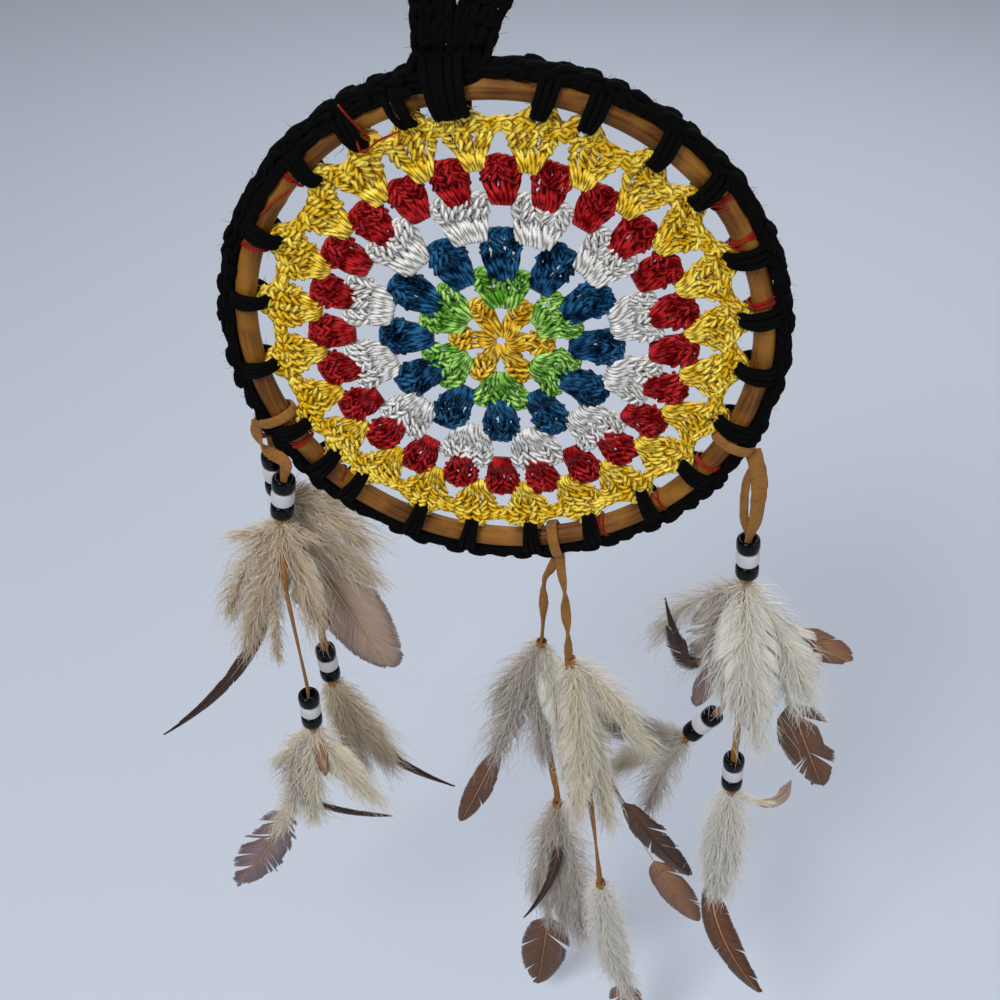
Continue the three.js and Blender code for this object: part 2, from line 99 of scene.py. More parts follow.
# Mesh work: strands are swept along lines, gathered in a stock and made into one piece.
def unit(vectors):
    return vectors / (np.linalg.norm(vectors, axis=-1, keepdims=True) + 1e-12)


# A point in the hoop's plane, or before or behind it, from its centre.
def polar(radius, angle, depth=0.0):
    turn = np.radians(angle)
    return np.stack(np.broadcast_arrays(radius * np.cos(turn), depth, radius * np.sin(turn)), -1)


def fullTurn(count):
    return np.linspace(0, 2 * np.pi, count, endpoint=False)


# A loop round the rod at an angle of the hoop, between two radii.
def loopRound(inner, outer, halfDepth, angle, turn):
    radius = (inner + outer) / 2 + (outer - inner) / 2 * np.cos(turn)
    return polar(radius, angle, halfDepth * np.sin(turn))


def evenLine(line, count):
    line = np.asarray(line, float)
    far = np.r_[0, np.cumsum(np.linalg.norm(np.diff(line, axis=0), axis=1))]
    at = np.linspace(0, far[-1], count)
    return np.stack([np.interp(at, far, line[:, k]) for k in range(3)], -1)


def lengthOf(line):
    return float(np.linalg.norm(np.diff(line, axis=0), axis=1).sum())


# One smooth curve through given points, without overshoot where they lie close together.
def smoothLine(points, spacing, perSpan=14):
    points = np.asarray(points, float)
    ends = np.vstack([2 * points[0] - points[1], points, 2 * points[-1] - points[-2]])
    found = []
    for a, b, c, d in zip(ends, ends[1:], ends[2:], ends[3:]):
        k0 = 0.0
        k1 = k0 + np.linalg.norm(b - a) ** 0.5
        k2 = k1 + np.linalg.norm(c - b) ** 0.5
        k3 = k2 + np.linalg.norm(d - c) ** 0.5
        k = np.linspace(k1, k2, perSpan, endpoint=False)[:, None]
        ab = ((k1 - k) * a + (k - k0) * b) / (k1 - k0)
        bc = ((k2 - k) * b + (k - k1) * c) / (k2 - k1)
        cd = ((k3 - k) * c + (k - k2) * d) / (k3 - k2)
        abc = ((k2 - k) * ab + (k - k0) * bc) / (k2 - k0)
        bcd = ((k3 - k) * bc + (k - k1) * cd) / (k3 - k1)
        found.append(((k2 - k) * abc + (k - k1) * bcd) / (k2 - k1))
    line = np.vstack([*found, points[-1:]])
    return evenLine(line, max(4, round(lengthOf(line) / spacing)))


def newStock():
    return {"points": [], "faces": [], "maps": [], "finishes": [], "count": 0}


# The cross direction of each line, turned as little as can be from step to step.
def carriedAcross(ahead):
    first = ahead[:, 0]
    guess = np.where(np.abs(first[:, 1:2]) < 0.8, [away], [up])
    across = [unit(guess - (guess * first).sum(1, keepdims=True) * first)]
    for k in range(1, ahead.shape[1]):
        last = across[-1]
        across.append(unit(last - (last * ahead[:, k]).sum(1, keepdims=True) * ahead[:, k]))
    return np.stack(across, 1)


# Sweeps a section along each of the lines (count, steps, 3). The section is wide along faceWay
# and thick across it; square under 1 makes it boxy. Its sides are even in number. Marks replace the
# map of length and turn.
def sweep(
    stock, finish, lines, wide, sides=6, thick=None, faceWay=None, closed=False, square=1.0, marks=None,
):
    lines = np.asarray(lines, float)
    count, steps, _ = lines.shape
    ahead = np.roll(lines, -1, 1) - np.roll(lines, 1, 1) if closed else np.gradient(lines, axis=1)
    ahead = unit(ahead)
    if faceWay is None:
        across = carriedAcross(ahead)
    else:
        across = np.broadcast_to(np.asarray(faceWay, float), lines.shape)
        across = unit(across - (across * ahead).sum(2, keepdims=True) * ahead)
    other = np.cross(ahead, across)
    wide = np.broadcast_to(wide, (count, steps))
    thick = wide if thick is None else np.broadcast_to(thick, (count, steps))
    turn = 2 * np.pi * np.arange(sides) / sides
    cosine, sine = (np.sign(f) * np.abs(f) ** square for f in (np.cos(turn), np.sin(turn)))
    ring = across[:, :, None] * (wide[:, :, None] * cosine)[..., None]
    ring = ring + other[:, :, None] * (thick[:, :, None] * sine)[..., None]
    points = lines[:, :, None] + ring

    number = stock["count"] + np.arange(count * steps * sides).reshape(count, steps, sides)
    beside = np.roll(number, -1, 2)
    gone = np.linalg.norm(np.diff(lines, axis=1, append=lines[:, :1]), axis=2)
    along = np.concatenate([np.zeros((count, 1)), np.cumsum(gone, 1)], 1)
    spans = steps if closed else steps - 1
    ahead1 = np.arange(1, spans + 1) % steps
    near, far = number[:, :spans], number[:, ahead1]
    faces = np.stack([near, beside[:, :spans], beside[:, ahead1], far], -1).reshape(-1, 4)
    v0 = np.broadcast_to(np.arange(sides) / sides, near.shape)
    u0 = np.broadcast_to(along[:, :spans, None], near.shape)
    u1 = np.broadcast_to(along[:, 1 : spans + 1, None], near.shape)
    corners = [(u0, v0), (u0, v0 + 1 / sides), (u1, v0 + 1 / sides), (u1, v0)]
    if marks is not None:
        spread = [np.broadcast_to(m, (count, steps)) for m in marks]
        nearMark = [np.broadcast_to(m[:, :spans, None], near.shape) for m in spread]
        farMark = [np.broadcast_to(m[:, ahead1, None], near.shape) for m in spread]
        corners = [nearMark, nearMark, farMark, farMark]
    maps = np.stack([np.stack(c, -1) for c in corners], -2).reshape(-1, 4, 2)
    if not closed:
        pairs = np.array([[k, k + 1, sides - 2 - k, sides - 1 - k] for k in range(sides // 2 - 1)])
        caps = [number[:, 0][:, pairs[:, ::-1]].reshape(-1, 4), number[:, -1][:, pairs].reshape(-1, 4)]
        shape = (count, len(pairs), 4, 2)
        ends = [maps.reshape(count, spans, sides, 4, 2)[:, k, 0, c] for k, c in ((0, 0), (-1, 2))]
        capMaps = [np.broadcast_to(e[:, None, None], shape).reshape(-1, 4, 2) for e in ends]
        faces = np.concatenate([faces, *caps])
        maps = np.concatenate([maps, *capMaps])
    stock["points"].append(points.reshape(-1, 3))
    stock["faces"].append(faces)
    stock["maps"].append(maps)
    stock["finishes"].append((finish, len(faces)))
    stock["count"] += count * steps * sides


def makePiece(name, stock, offset=(0, 0, 0)):
    points = (np.concatenate(stock["points"]) + offset) * mm
    faces = np.concatenate(stock["faces"])
    used = list(dict.fromkeys(finish for finish, _ in stock["finishes"]))
    finishes = np.concatenate([np.full(n, used.index(finish)) for finish, n in stock["finishes"]])
    mesh = bpy.data.meshes.new(name)
    mesh.vertices.add(len(points))
    mesh.vertices.foreach_set("co", points.astype(np.float32).ravel())
    mesh.loops.add(faces.size)
    mesh.loops.foreach_set("vertex_index", faces.astype(np.int32).ravel())
    mesh.polygons.add(len(faces))
    mesh.polygons.foreach_set("loop_start", np.arange(0, faces.size, 4, dtype=np.int32))
    mesh.polygons.foreach_set("material_index", finishes.astype(np.int32))
    mesh.polygons.foreach_set("use_smooth", np.ones(len(faces), bool))
    layer = mesh.uv_layers.new(name="strandMap")
    layer.data.foreach_set("uv", np.concatenate(stock["maps"]).astype(np.float32).ravel())
    mesh.update(calc_edges=True)
    for finish in used:
        mesh.materials.append(materials[finish])
    piece = bpy.data.objects.new(name, mesh)
    bpy.context.scene.collection.objects.link(piece)
    return piece


# Materials. A few functions make the nodes that most of them share.
def linear(hexColour):
    parts = [int(hexColour[k : k + 2], 16) / 255 for k in (1, 3, 5)]
    return [c / 12.92 if c <= 0.04045 else ((c + 0.055) / 1.055) ** 2.4 for c in parts] + [1.0]


def addNode(tree, kind, inputs=(), **settings):
    node = tree.nodes.new(kind)
    for key, value in settings.items():
        setattr(node, key, value)
    for socket, value in dict(inputs).items():
        if isinstance(value, bpy.types.NodeSocket):
            tree.links.new(value, node.inputs[socket])
        else:
            node.inputs[socket].default_value = value
    return node


def newMaterial(name, **sockets):
    material = bpy.data.materials.new(name)
    material.use_nodes = True
    shader = material.node_tree.nodes["Principled BSDF"]
    for socket, value in sockets.items():
        shader.inputs[socket.replace("_", " ")].default_value = value
    return material, material.node_tree, shader


def mixed(tree, factor, first, second):
    inputs = {"Factor": factor, "A": first, "B": second}
    return addNode(tree, "ShaderNodeMix", inputs, data_type="RGBA").outputs["Result"]


def ranged(tree, value, low, high):
    inputs = {"Value": value, "From Min": low, "From Max": high}
    return addNode(tree, "ShaderNodeMapRange", inputs).outputs["Result"]


def worked(tree, operation, *values):
    return addNode(tree, "ShaderNodeMath", enumerate(values), operation=operation).outputs[0]


# Noise with patches of a size in millimetres.
def patches(tree, size, detail):
    place = addNode(tree, "ShaderNodeTexCoord").outputs["Object"]
    inputs = {"Vector": place, "Scale": 1 / (size * mm), "Detail": detail}
    return addNode(tree, "ShaderNodeTexNoise", inputs).outputs["Fac"]


def strandMap(tree):
    return addNode(tree, "ShaderNodeUVMap", uv_map="strandMap").outputs["UV"]


# Noise in streaks of a length in the map's own unit, millimetres on yarn, and so many round a strand.
def streaks(tree, length, around, detail):
    inputs = {"Vector": strandMap(tree), "Scale": (1 / length, around, 1.0)}
    drawn = addNode(tree, "ShaderNodeMapping", inputs).outputs[0]
    inputs = {"Vector": drawn, "Scale": 1.0, "Detail": detail}
    return addNode(tree, "ShaderNodeTexNoise", inputs).outputs["Fac"]


# Gives the shader its colour and a relief whose depth is in millimetres.
def dress(tree, shader, colour, height, strength, depth):
    inputs = {"Strength": strength, "Distance": depth * mm, "Height": height}
    bump = addNode(tree, "ShaderNodeBump", inputs)
    tree.links.new(colour, shader.inputs["Base Color"])
    tree.links.new(bump.outputs["Normal"], shader.inputs["Normal"])


# Plied cotton, gassed and mercerised: each strand has a silky highlight, and the lines between its
# plies slant round it and are darker with painted shade in the grooves. Paler patches of 4 mm are
# partly uneven dye and partly painted highlight. The plies are drawn at three times their real pitch,
# in millimetres, so that they show.
def pliedCotton(name, base, paintedPlyShade, light, pitch=4.6, plies=2):
    material, tree, shader = newMaterial(
        name, Roughness=0.27, Specular_IOR_Level=0.5, Specular_Tint=linear(light),
    )
    parts = addNode(tree, "ShaderNodeSeparateXYZ", {0: strandMap(tree)})
    lay = worked(tree, "MULTIPLY", parts.outputs["X"], 2 * np.pi / pitch)
    wind = worked(tree, "MULTIPLY_ADD", parts.outputs["Y"], 2 * np.pi * plies, lay)
    # The ply wave paints shade into the grooves between plies and also gives their relief.
    ply = ranged(tree, worked(tree, "SINE", wind), -1.2, 0.4)
    # Patches of 4 mm between base and light: partly uneven dye, partly painted highlight.
    dyeAndPaintedHighlight = ranged(tree, patches(tree, 4.0, 2.0), 0.36, 0.66)
    tone = mixed(tree, dyeAndPaintedHighlight, linear(base), linear(light))
    dress(tree, shader, mixed(tree, ply, linear(paintedPlyShade), tone), ply, 0.5, 0.25)
    return material


# Brushed acrylic yarn: soft, hairy and without shine, so only its form and its stray hairs show. The
# patches of hair, 0.8 mm long and 14 round the strand, are coarser than the fibres, so that they show.
def brushedAcrylic(name, base, light):
    material, tree, shader = newMaterial(name, Roughness=0.95, Specular_IOR_Level=0.08)
    hairs = streaks(tree, 0.8, 14.0, 4.0)
    dress(tree, shader, mixed(tree, hairs, linear(base), linear(light)), hairs, 0.8, 0.5)
    return material


# Rattan core, peeled and bent in steam: pores and streaks, 20 mm long and 22 round the rod, run round
# the hoop, with paler blotches of 18 mm, under a thin film of wax.
def peeledRattan(name, base, dark, light):
    material, tree, shader = newMaterial(
        name, Roughness=0.5, Coat_Weight=0.04, Coat_Roughness=0.35, Specular_IOR_Level=0.2,
    )
    grain = ranged(tree, streaks(tree, 20.0, 22.0, 5.0), 0.3, 0.68)
    blotch = ranged(tree, patches(tree, 18.0, 3.0), 0.42, 0.75)
    wood = mixed(tree, grain, linear(dark), linear(base))
    dress(tree, shader, mixed(tree, blotch, wood, linear(light)), grain, 0.45, 0.3)
    return material


# Split suede cut into lace: matt, with a nap that lies this way and that in patches of 5 mm, and
# fluff of 0.7 mm on it.
def splitSuede(name, base, dark, light):
    material, tree, shader = newMaterial(name, Roughness=0.85, Sheen_Weight=0.05, Specular_IOR_Level=0.2)
    nap = ranged(tree, patches(tree, 5.0, 4.0), 0.35, 0.7)
    fluff = patches(tree, 0.7, 2.0)
    tone = mixed(tree, nap, linear(dark), linear(base))
    dress(tree, shader, mixed(tree, fluff, tone, linear(light)), fluff, 0.5, 0.25)
    return material


# Moulded acrylic bead: a hard clear gloss over an even body colour, with faint flow waves of 4 mm.
def mouldedAcrylic(name, base, light):
    material, tree, shader = newMaterial(name, Roughness=0.1, IOR=1.49, Specular_IOR_Level=0.16)
    flow = patches(tree, 4.0, 2.0)
    dress(tree, shader, mixed(tree, flow, linear(base), linear(light)), flow, 0.2, 0.1)
    return material


# Keratin barbs of a small body feather, silky on the vane and dull in the down. The map's X runs along
# the quill and its Y out along a barb, so colour can change from root to tip and from quill to edge.
# Barbs vary a little in bars 1.5 mm apart on a quill of 90 mm, coarser than barbs are, so that they show.
def featherBarbs(name, root, tip, edge, gloss=0.55, sheen=0.35):
    material, tree, shader = newMaterial(name, Roughness=gloss, Sheen_Weight=sheen, Specular_IOR_Level=0.22)
    parts = addNode(tree, "ShaderNodeSeparateXYZ", {0: strandMap(tree)})
    barb = streaks(tree, 1.5 / 90, 2.0, 3.0)
    run = ranged(tree, worked(tree, "MULTIPLY_ADD", barb, 0.5, parts.outputs["X"]), 0.35, 1.15)
    length = mixed(tree, run, linear(root), linear(tip))
    rim = ranged(tree, parts.outputs["Y"], 0.35, 1.0)
    dress(tree, shader, mixed(tree, rim, length, linear(edge)), barb, 0.3, 0.1)
    return material


# Colours: the strand, the painted shade in the grooves between its plies, and its paler patches, partly
# uneven dye and partly painted highlight.
cottonColours = {
    "gold": ("#c99207", "#582b00", "#f8d24c"),
    "lime": ("#4a8e1c", "#0b2a02", "#b8ec7a"),
    "teal": ("#01122a", "#000107", "#2b6793"),
    "white": ("#dad7d1", "#6e685e", "#f0efec"),
    "red": ("#780509", "#180001", "#c2292c"),
    "yellow": ("#deae04", "#683800", "#ffe862"),
}
# Colours at the root, tip and edge of a feather.
downColours = {
    "tan": ("#d4bfa0", "#c5ad8d", "#dacbb2"),
    "grey": ("#c5baab", "#b6aa9b", "#cec5ba"),
    "cream": ("#e4d8bd", "#ded3b8", "#e8e1cf"),
    "white": ("#e5e0d3", "#dcd6c7", "#e9e5db"),
}
vaneColours = {
    "brown": ("#896149", "#5f3e2c", "#694b38"),
    "tan": ("#8a5429", "#5f361b", "#4b2912"),
    "fawn": ("#ad8161", "#8b6247", "#76523a"),
    "rose": ("#c3a590", "#a88d7c", "#a08778"),
    "mauve": ("#9a837c", "#836d6d", "#725c5c"),
    "umber": ("#745643", "#452e25", "#452e25"),
}
materials = {
    "rattan": peeledRattan("peeledRattan", "#794812", "#381d05", "#a16c24"),
    # Its second colour is painted shade in the ply grooves, its third partly painted highlight.
    "redThread": pliedCotton("redSewingCotton", "#941a16", "#5e0c0b", "#b43328", pitch=0.9),
    "black": brushedAcrylic("blackBrushedAcrylic", "#030303", "#090909"),
    "suede": splitSuede("tanSplitSuede", "#83501f", "#49270b", "#a57438"),
    "blackBead": mouldedAcrylic("blackMouldedAcrylic", "#020203", "#040405"),
    "whiteBead": mouldedAcrylic("whiteMouldedAcrylic", "#b8b8bd", "#c5c5c7"),
    "darkVane": featherBarbs("darkVaneBarbs", "#563a27", "#271811", "#382519", gloss=0.4, sheen=0.05),
    "quill": featherBarbs("paleQuill", "#d4c19c", "#a58156", "#d4c19c", gloss=0.3, sheen=0.0),
    "darkQuill": featherBarbs("darkQuill", "#816343", "#362318", "#816343", gloss=0.3, sheen=0.0),
}
for colour, tones in cottonColours.items():
    materials[colour] = pliedCotton(f"{colour}PliedCotton", *tones)
for colour, tones in downColours.items():
    materials[f"{colour}Down"] = featherBarbs(f"{colour}DownBarbs", *tones)
for colour, tones in vaneColours.items():
    materials[f"{colour}Vane"] = featherBarbs(f"{colour}VaneBarbs", *tones, gloss=0.42, sheen=0.05)
print("materials made:", len(materials))


# Laces, each one strand from the fold on the hoop to its last beads or feathers. The route's points
# are the part's own: offsets (across, up) from where the lace leaves the hoop. Twists are degrees,
# widening is how much broader the lace is where it leaves the hoop, early how far it is swung out
# there, and tuftLift how far the feathers start above their place on the lace.
laceValues = {
    "width": 3.2,
    "thickness": 1.2,
    "close": 0.75,  # depth of a strand beside its twin
    "frontDepth": 4.6,
    "tailDepth": 13.0,
    "stack": 18.6,  # length of three beads
    "collar": 5.0,  # length that is tied up in feathers where a strand has no beads
    "gap": 0.3,
    "tailGap": 0.8,
    "tuck": 2.2,  # how far a strand starts inside its fold
    "straight": 2.2,  # widths over which it runs straight into its beads
    "sharedSpread": 1.8,  # how much farther apart two strands lie below beads they share
    "sharedApart": 0.8,
    "pastTie": 4.0,  # how far a strand without beads runs on into its last feathers
    "spacing": 1.2,
    "tailTurn": 25,  # degrees of twist between the feathers and the tail
    "uneven": 0.06,
    "bendHalf": 6.0,  # half a stretch of lace about where the tail sways
}
pendants = {
    "left": {
        "angle": 204,
        "front": {
            "lead": (3, -10), "beads": (9.9, -21.1), "tilt": -9, "pivot": (7.1, -70.5),
            "tail": (10, -129.8), "tailTilt": 0, "twist": 200, "tailTwist": 60, "widening": 1.6,
        },
        "back": {
            "lead": (1.2, -8), "beads": (3.6, -17.3), "tilt": 0, "pivot": (10, -88),
            "tail": (11.4, -128.8), "tailTilt": 4, "twist": 30, "tailTwist": -50,
        },
    },
    "centre": {
        "angle": -76.5,
        "front": {
            "lead": (1.6, -12.7), "collar": (5.1, -50.7), "tilt": 4, "pivot": (15.1, -109.7),
            "tail": (25.1, -189.2), "tailTilt": 8, "twist": 330, "tailTwist": 150, "tuftLift": 7.0,
        },
        "back": {
            "lead": (-5.9, -14.7), "collar": (-6.4, -44.7), "tilt": -2, "pivot": (-2.9, -126.7),
            "tail": (2.5, -165.7), "tailTilt": 2, "twist": -260, "tailTwist": 90, "early": -2.4,
        },
    },
    "right": {
        "angle": -23.5,
        "front": {
            "shared": True, "lead": (2.2, -14), "beads": (1.7, -39.9), "tilt": 5, "pivot": (7.1, -110.9),
            "tail": (8.9, -149), "tailTilt": 3, "twist": -35, "tailTwist": 70, "widening": 1.85,
        },
        "back": {
            "shared": True, "lead": (-2.2, -14), "beads": (1.7, -39.9), "tilt": 5, "pivot": (4.1, -120.9),
            "tail": (2.6, -152), "tailTilt": -33, "twist": 40, "tailTwist": 30, "topTwist": 68,
        },
    },
}


def headingOf(tilt):
    return np.array([np.sin(np.radians(tilt)), 0, -np.cos(np.radians(tilt))])


# The marked points of a strand, in the part's frame.
def strandPlaces(pendantName, strandName):
    values, strand = laceValues, pendants[pendantName][strandName]
    exitPoint = pinAt[f"{pendantName}_swing"]
    side = -1 if strandName == "front" else 1
    close = side * values["close"]
    depth = close if strand.get("shared") else side * values["frontDepth"]
    heading, tailHeading = headingOf(strand["tilt"]), headingOf(strand["tailTilt"])
    length = values["stack"] if "beads" in strand else values["collar"]
    top = exitPoint + [0, depth, 0] + np.insert(strand.get("beads", strand.get("collar")), 1, 0)
    below = top + heading * length
    pivot = pinAt[f"{pendantName}_{strandName}_tail_swing"]
    tailTop = exitPoint + np.insert(strand["tail"], 1, side * values["tailDepth"])
    tailBelow = tailTop + tailHeading * (values["stack"] if "beads" in strand else 0)
    lead = exitPoint + np.insert(strand["lead"], 1, (close + depth) / 2)
    start = exitPoint + [0, close, 0]
    spread = values["sharedSpread"] if strand.get("shared") else 1
    spreadBelow = below + heading * values["collar"]
    spreadBelow[1] = depth * spread
    inward = unit(hoopCentre - exitPoint)
    apart = np.array([strand["lead"][0] * values["sharedApart"] if strand.get("shared") else 0.0, 0.0, 0.0])
    early = strand.get("early", 0.0)
    half = values["tailGap"] / 2
    under = pivot - up * half
    tailEnd = tailBelow + tailHeading * (-values["gap"] if "beads" in strand else values["pastTie"])
    route = [
        start + inward * values["tuck"],
        start + [strand["lead"][0] / 4 + early, 0, strand["lead"][1] / 2], lead,
        top - heading * values["straight"] * values["width"] + apart, top,
        below - heading * length / 6, below, spreadBelow,
        pivot + up * 2.5 * values["width"], pivot, (under + tailTop) / 2 + up * 0.6 * values["width"],
        tailTop - tailHeading * 0.8 * values["collar"], tailTop, (tailTop + tailEnd) / 2, tailEnd,
    ]
    return {
        "exit": exitPoint, "route": np.array(route), "top": top, "below": below, "heading": heading,
        "pivot": pivot, "tailTop": tailTop, "tailBelow": tailBelow, "tailHeading": tailHeading,
    }


def makeLace(pendantName, strandName):
    values, strand = laceValues, pendants[pendantName][strandName]
    places = strandPlaces(pendantName, strandName)
    line = smoothLine(places["route"], values["spacing"])
    marks = [int(np.argmin(np.linalg.norm(line - p, axis=1))) for p in places["route"]]
    # The lace turns on its way to the beads and lies flat in them.
    turnAt = [0, marks[1], marks[3], marks[6], marks[9], marks[11], len(line) - 1]
    begin = strand.get("topTwist", 0)
    turns = [begin, begin, strand["twist"], strand["twist"], strand["twist"] + values["tailTurn"]]
    turns += [strand["twist"] + strand["tailTwist"]] * 2
    steps = np.arange(len(line))
    turn = np.radians(np.interp(steps, turnAt, turns))
    turn = np.convolve(np.pad(turn, 4, mode="edge"), np.ones(9) / 9, mode="valid")
    ahead = unit(np.gradient(line, axis=0))
    flat = unit(np.cross(ahead, away))
    faceWay = flat * np.cos(turn)[:, None] + np.cross(ahead, flat) * np.sin(turn)[:, None]
    broad = strand.get("widening", 1.2)
    widening = np.interp(steps, [0, marks[3], marks[4], marks[-1]], [broad, broad, 1, 1])
    rng = np.random.default_rng(len(line))
    waver = np.convolve(rng.normal(size=len(line) + 8), np.ones(9) / 3, mode="valid")
    uneven = 1 + values["uneven"] * waver
    stock = newStock()
    sweep(
        stock, "suede", [line], [values["width"] / 2 * widening * uneven], sides=10,
        thick=values["thickness"] / 2, faceWay=[faceWay], square=0.5,
    )
    name = f"{pendantName}_{strandName}"
    piece = makePiece(f"lace_{name}_strand", stock)
    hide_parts(f"lace_{name}", f"lace_{name}_tail")
    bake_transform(piece)
    return {"piece": piece, "line": line, "places": places, "length": lengthOf(line)}


strands = {
    (pendantName, strandName): makeLace(pendantName, strandName)
    for pendantName in pendants
    for strandName in ("front", "back")
}
print("laces:", {"_".join(key): round(made["length"]) for key, made in strands.items()})

foldValues = {"inset": 1.6, "stand": 0.9, "halfDepth": 5.25, "width": 4.0, "thickness": 1.2}


# The fold of a lace round the rod and its edging.
def makeFold(pendantName):
    values, angle = foldValues, pendants[pendantName]["angle"]
    edgingOuter = (boxOf["edging"][1] - boxOf["edging"][0])[0] / 2
    inner, outer = hoopInner - values["inset"], edgingOuter + values["stand"]
    ring = loopRound(inner, outer, values["halfDepth"], angle, fullTurn(40)) + hoopCentre
    tangent = polar(1.0, angle + 90)
    stock = newStock()
    sweep(
        stock, "suede", [ring], values["width"] / 2, sides=10, thick=values["thickness"] / 2,
        faceWay=[[tangent]], closed=True, square=0.5,
    )
    piece = makePiece(f"lace_fold_{pendantName}_loop", stock)
    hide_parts(f"lace_fold_{pendantName}")
    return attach(piece, "hoop")


rodValues = {
    "rodDiameter": 7.5,
    "knotAngles": (32, 146, 284),
    "knotSwell": 0.35,
    "knotWidth": 1.1,  # degrees
    "grooveWidth": 0.35,  # degrees, of the line round the middle of a knot
    "grooveDepth": 0.8,
    "waver": 0.16,
}
hoopOuter = (boxOf["hoop"][1] - boxOf["hoop"][0])[0] / 2
rodRadius = rodValues["rodDiameter"] / 2
hoopRadius = hoopOuter - rodRadius
hoopInner = hoopRadius - rodRadius


def makeHoop():
    values = rodValues
    rng = np.random.default_rng(5)
    angle = np.linspace(0, 360, 480, endpoint=False)
    stock = newStock()
    swell = np.zeros_like(angle)
    for knot in values["knotAngles"]:
        off = (angle - knot + 180) % 360 - 180
        ridge = np.exp(-((off / values["knotWidth"]) ** 2))
        groove = values["grooveDepth"] * np.exp(-((off / values["grooveWidth"]) ** 2))
        swell += values["knotSwell"] * (ridge - groove)
    wave = sum(
        np.cos(np.radians(angle * k) + rng.uniform(0, 6.3)) / k ** 0.5 for k in range(3, 14)
    ) * values["waver"] / 3
    line = polar(hoopRadius + wave * 0.5, angle, wave[::-1] * 0.6)
    sweep(stock, "rattan", [line], [rodRadius + swell + 0.4 * wave], sides=20, faceWay=away, closed=True)
    piece = makePiece("rattan_hoop", stock, hoopCentre)
    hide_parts("hoop")
    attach(piece, "hoop")


makeHoop()
for pendantName in pendants:
    makeFold(pendantName)
print("hoop and folds made")


# Crochet in plied cotton. A stitch is two strands wound about its post, with a loop round the chain
# below, a wrap across it on both faces and a chain loop as its head.
yarnValues = {
    "strand": 1.6,
    "orbit": 0.84,
    "wind": 0.6,  # turns of the strands about a post
    "postSpread": 0.8,
    "postDepth": 1.15,
    "plump": (0.94, 1.06),
    "angleDrift": 0.4,  # degrees
    "reachDrift": 0.35,
    # The loop of a stitch about the chain below, from front to back: its free ends as shares of the
    # post, its heights above the chain and its depths.
    "footEnds": (0.3, 0.5),
    "footRises": (3.2, 1.5, 0.4, -0.3, 0.4, 1.5, 3.2),
    "footDepths": (-0.7, -1.2, -1.5, -1.2, 0, 1.2, 1.5, 1.2, 0.7),
    "footAside": 0.5,
    "footThick": 0.95,
    "wrapAt": ((0.58, 0.68), (0.76, 0.86)),  # shares of the post where wraps cross it
    "wrapLean": (0.06, 0.12),
    "wrapHalf": 1.2,
    "wrapThick": 0.92,
    "crownHalf": 0.85,
    "crownTilt": 0.8,
    "chainSag": 3.0,
    "chainRise": 0.4,
    "chainDip": 0.3,
    "chainPitch": 2.3,
    "chainHalf": 0.45,
    "chainThick": 0.62,
    "footRise": -0.6,
    "overlap": 0.86,  # half the length of a chain's oval, as a share of its pitch
    "loosePlace": 0.16,
    "looseWay": 0.14,
}
shareOf = {"flower": 0.206, "green": 0.327, "blue": 0.497, "white": 0.6485, "red": 0.784}
reachOf = {name: share * hoopInner for name, share in shareOf.items()}  # how far each round reaches
stitchValues = {
    "first": 82.5,
    "step": 15.0,
    "drift": (
        -1, 4, 3, 5.5, 3.5, 3, 4, 3, 2, 2, 1, 0.5, -0.5, 0.5, -2.5, 3, 5.5, 2, -0.5, -3, -7, -5.5, -2, 3,
    ),
}
stitchAngles = [
    stitchValues["first"] - stitchValues["step"] * k + drift for k, drift in enumerate(stitchValues["drift"])
]
strapAngle = stitchAngles.pop()


def evenly(count, start):
    return start + 360 / count * np.arange(count)


def inPairs(count, start, spread):
    return np.sort(np.concatenate([evenly(count, start) - spread, evenly(count, start) + spread]))


# Chain stitch along a line: ovals that lie on one another like shingles.
def addChain(stock, finish, line, pitch, halfWidth, strandRadius, tilt=0.55, ring=False, loose=None):
    values = yarnValues
    line = np.asarray(line, float)
    count = max(2, round(lengthOf(line) / pitch))
    even = evenLine(line, count + 1)[:-1] if ring else evenLine(line, count)
    if ring:
        ahead = unit(np.roll(even, -1, 0) - np.roll(even, 1, 0))
    else:
        ahead = unit(np.gradient(even, axis=0))
    normals = np.broadcast_to(away, even.shape)
    if loose is not None:
        even = even + loose.normal(0, values["loosePlace"], even.shape)
        ahead = unit(ahead + loose.normal(0, values["looseWay"], even.shape))
        normals = unit(normals + loose.normal(0, values["loosePlace"], even.shape))
    beside = unit(np.cross(normals, ahead))
    turn = fullTurn(10)
    ovals = (
        even[:, None]
        + ahead[:, None] * (values["overlap"] * pitch * np.cos(turn))[None, :, None]
        + beside[:, None] * (halfWidth * np.sin(turn))[None, :, None]
        + normals[:, None] * (-tilt * np.cos(turn))[None, :, None]
    )
    sweep(stock, finish, ovals, strandRadius, sides=6, faceWay=normals[:, None], closed=True)


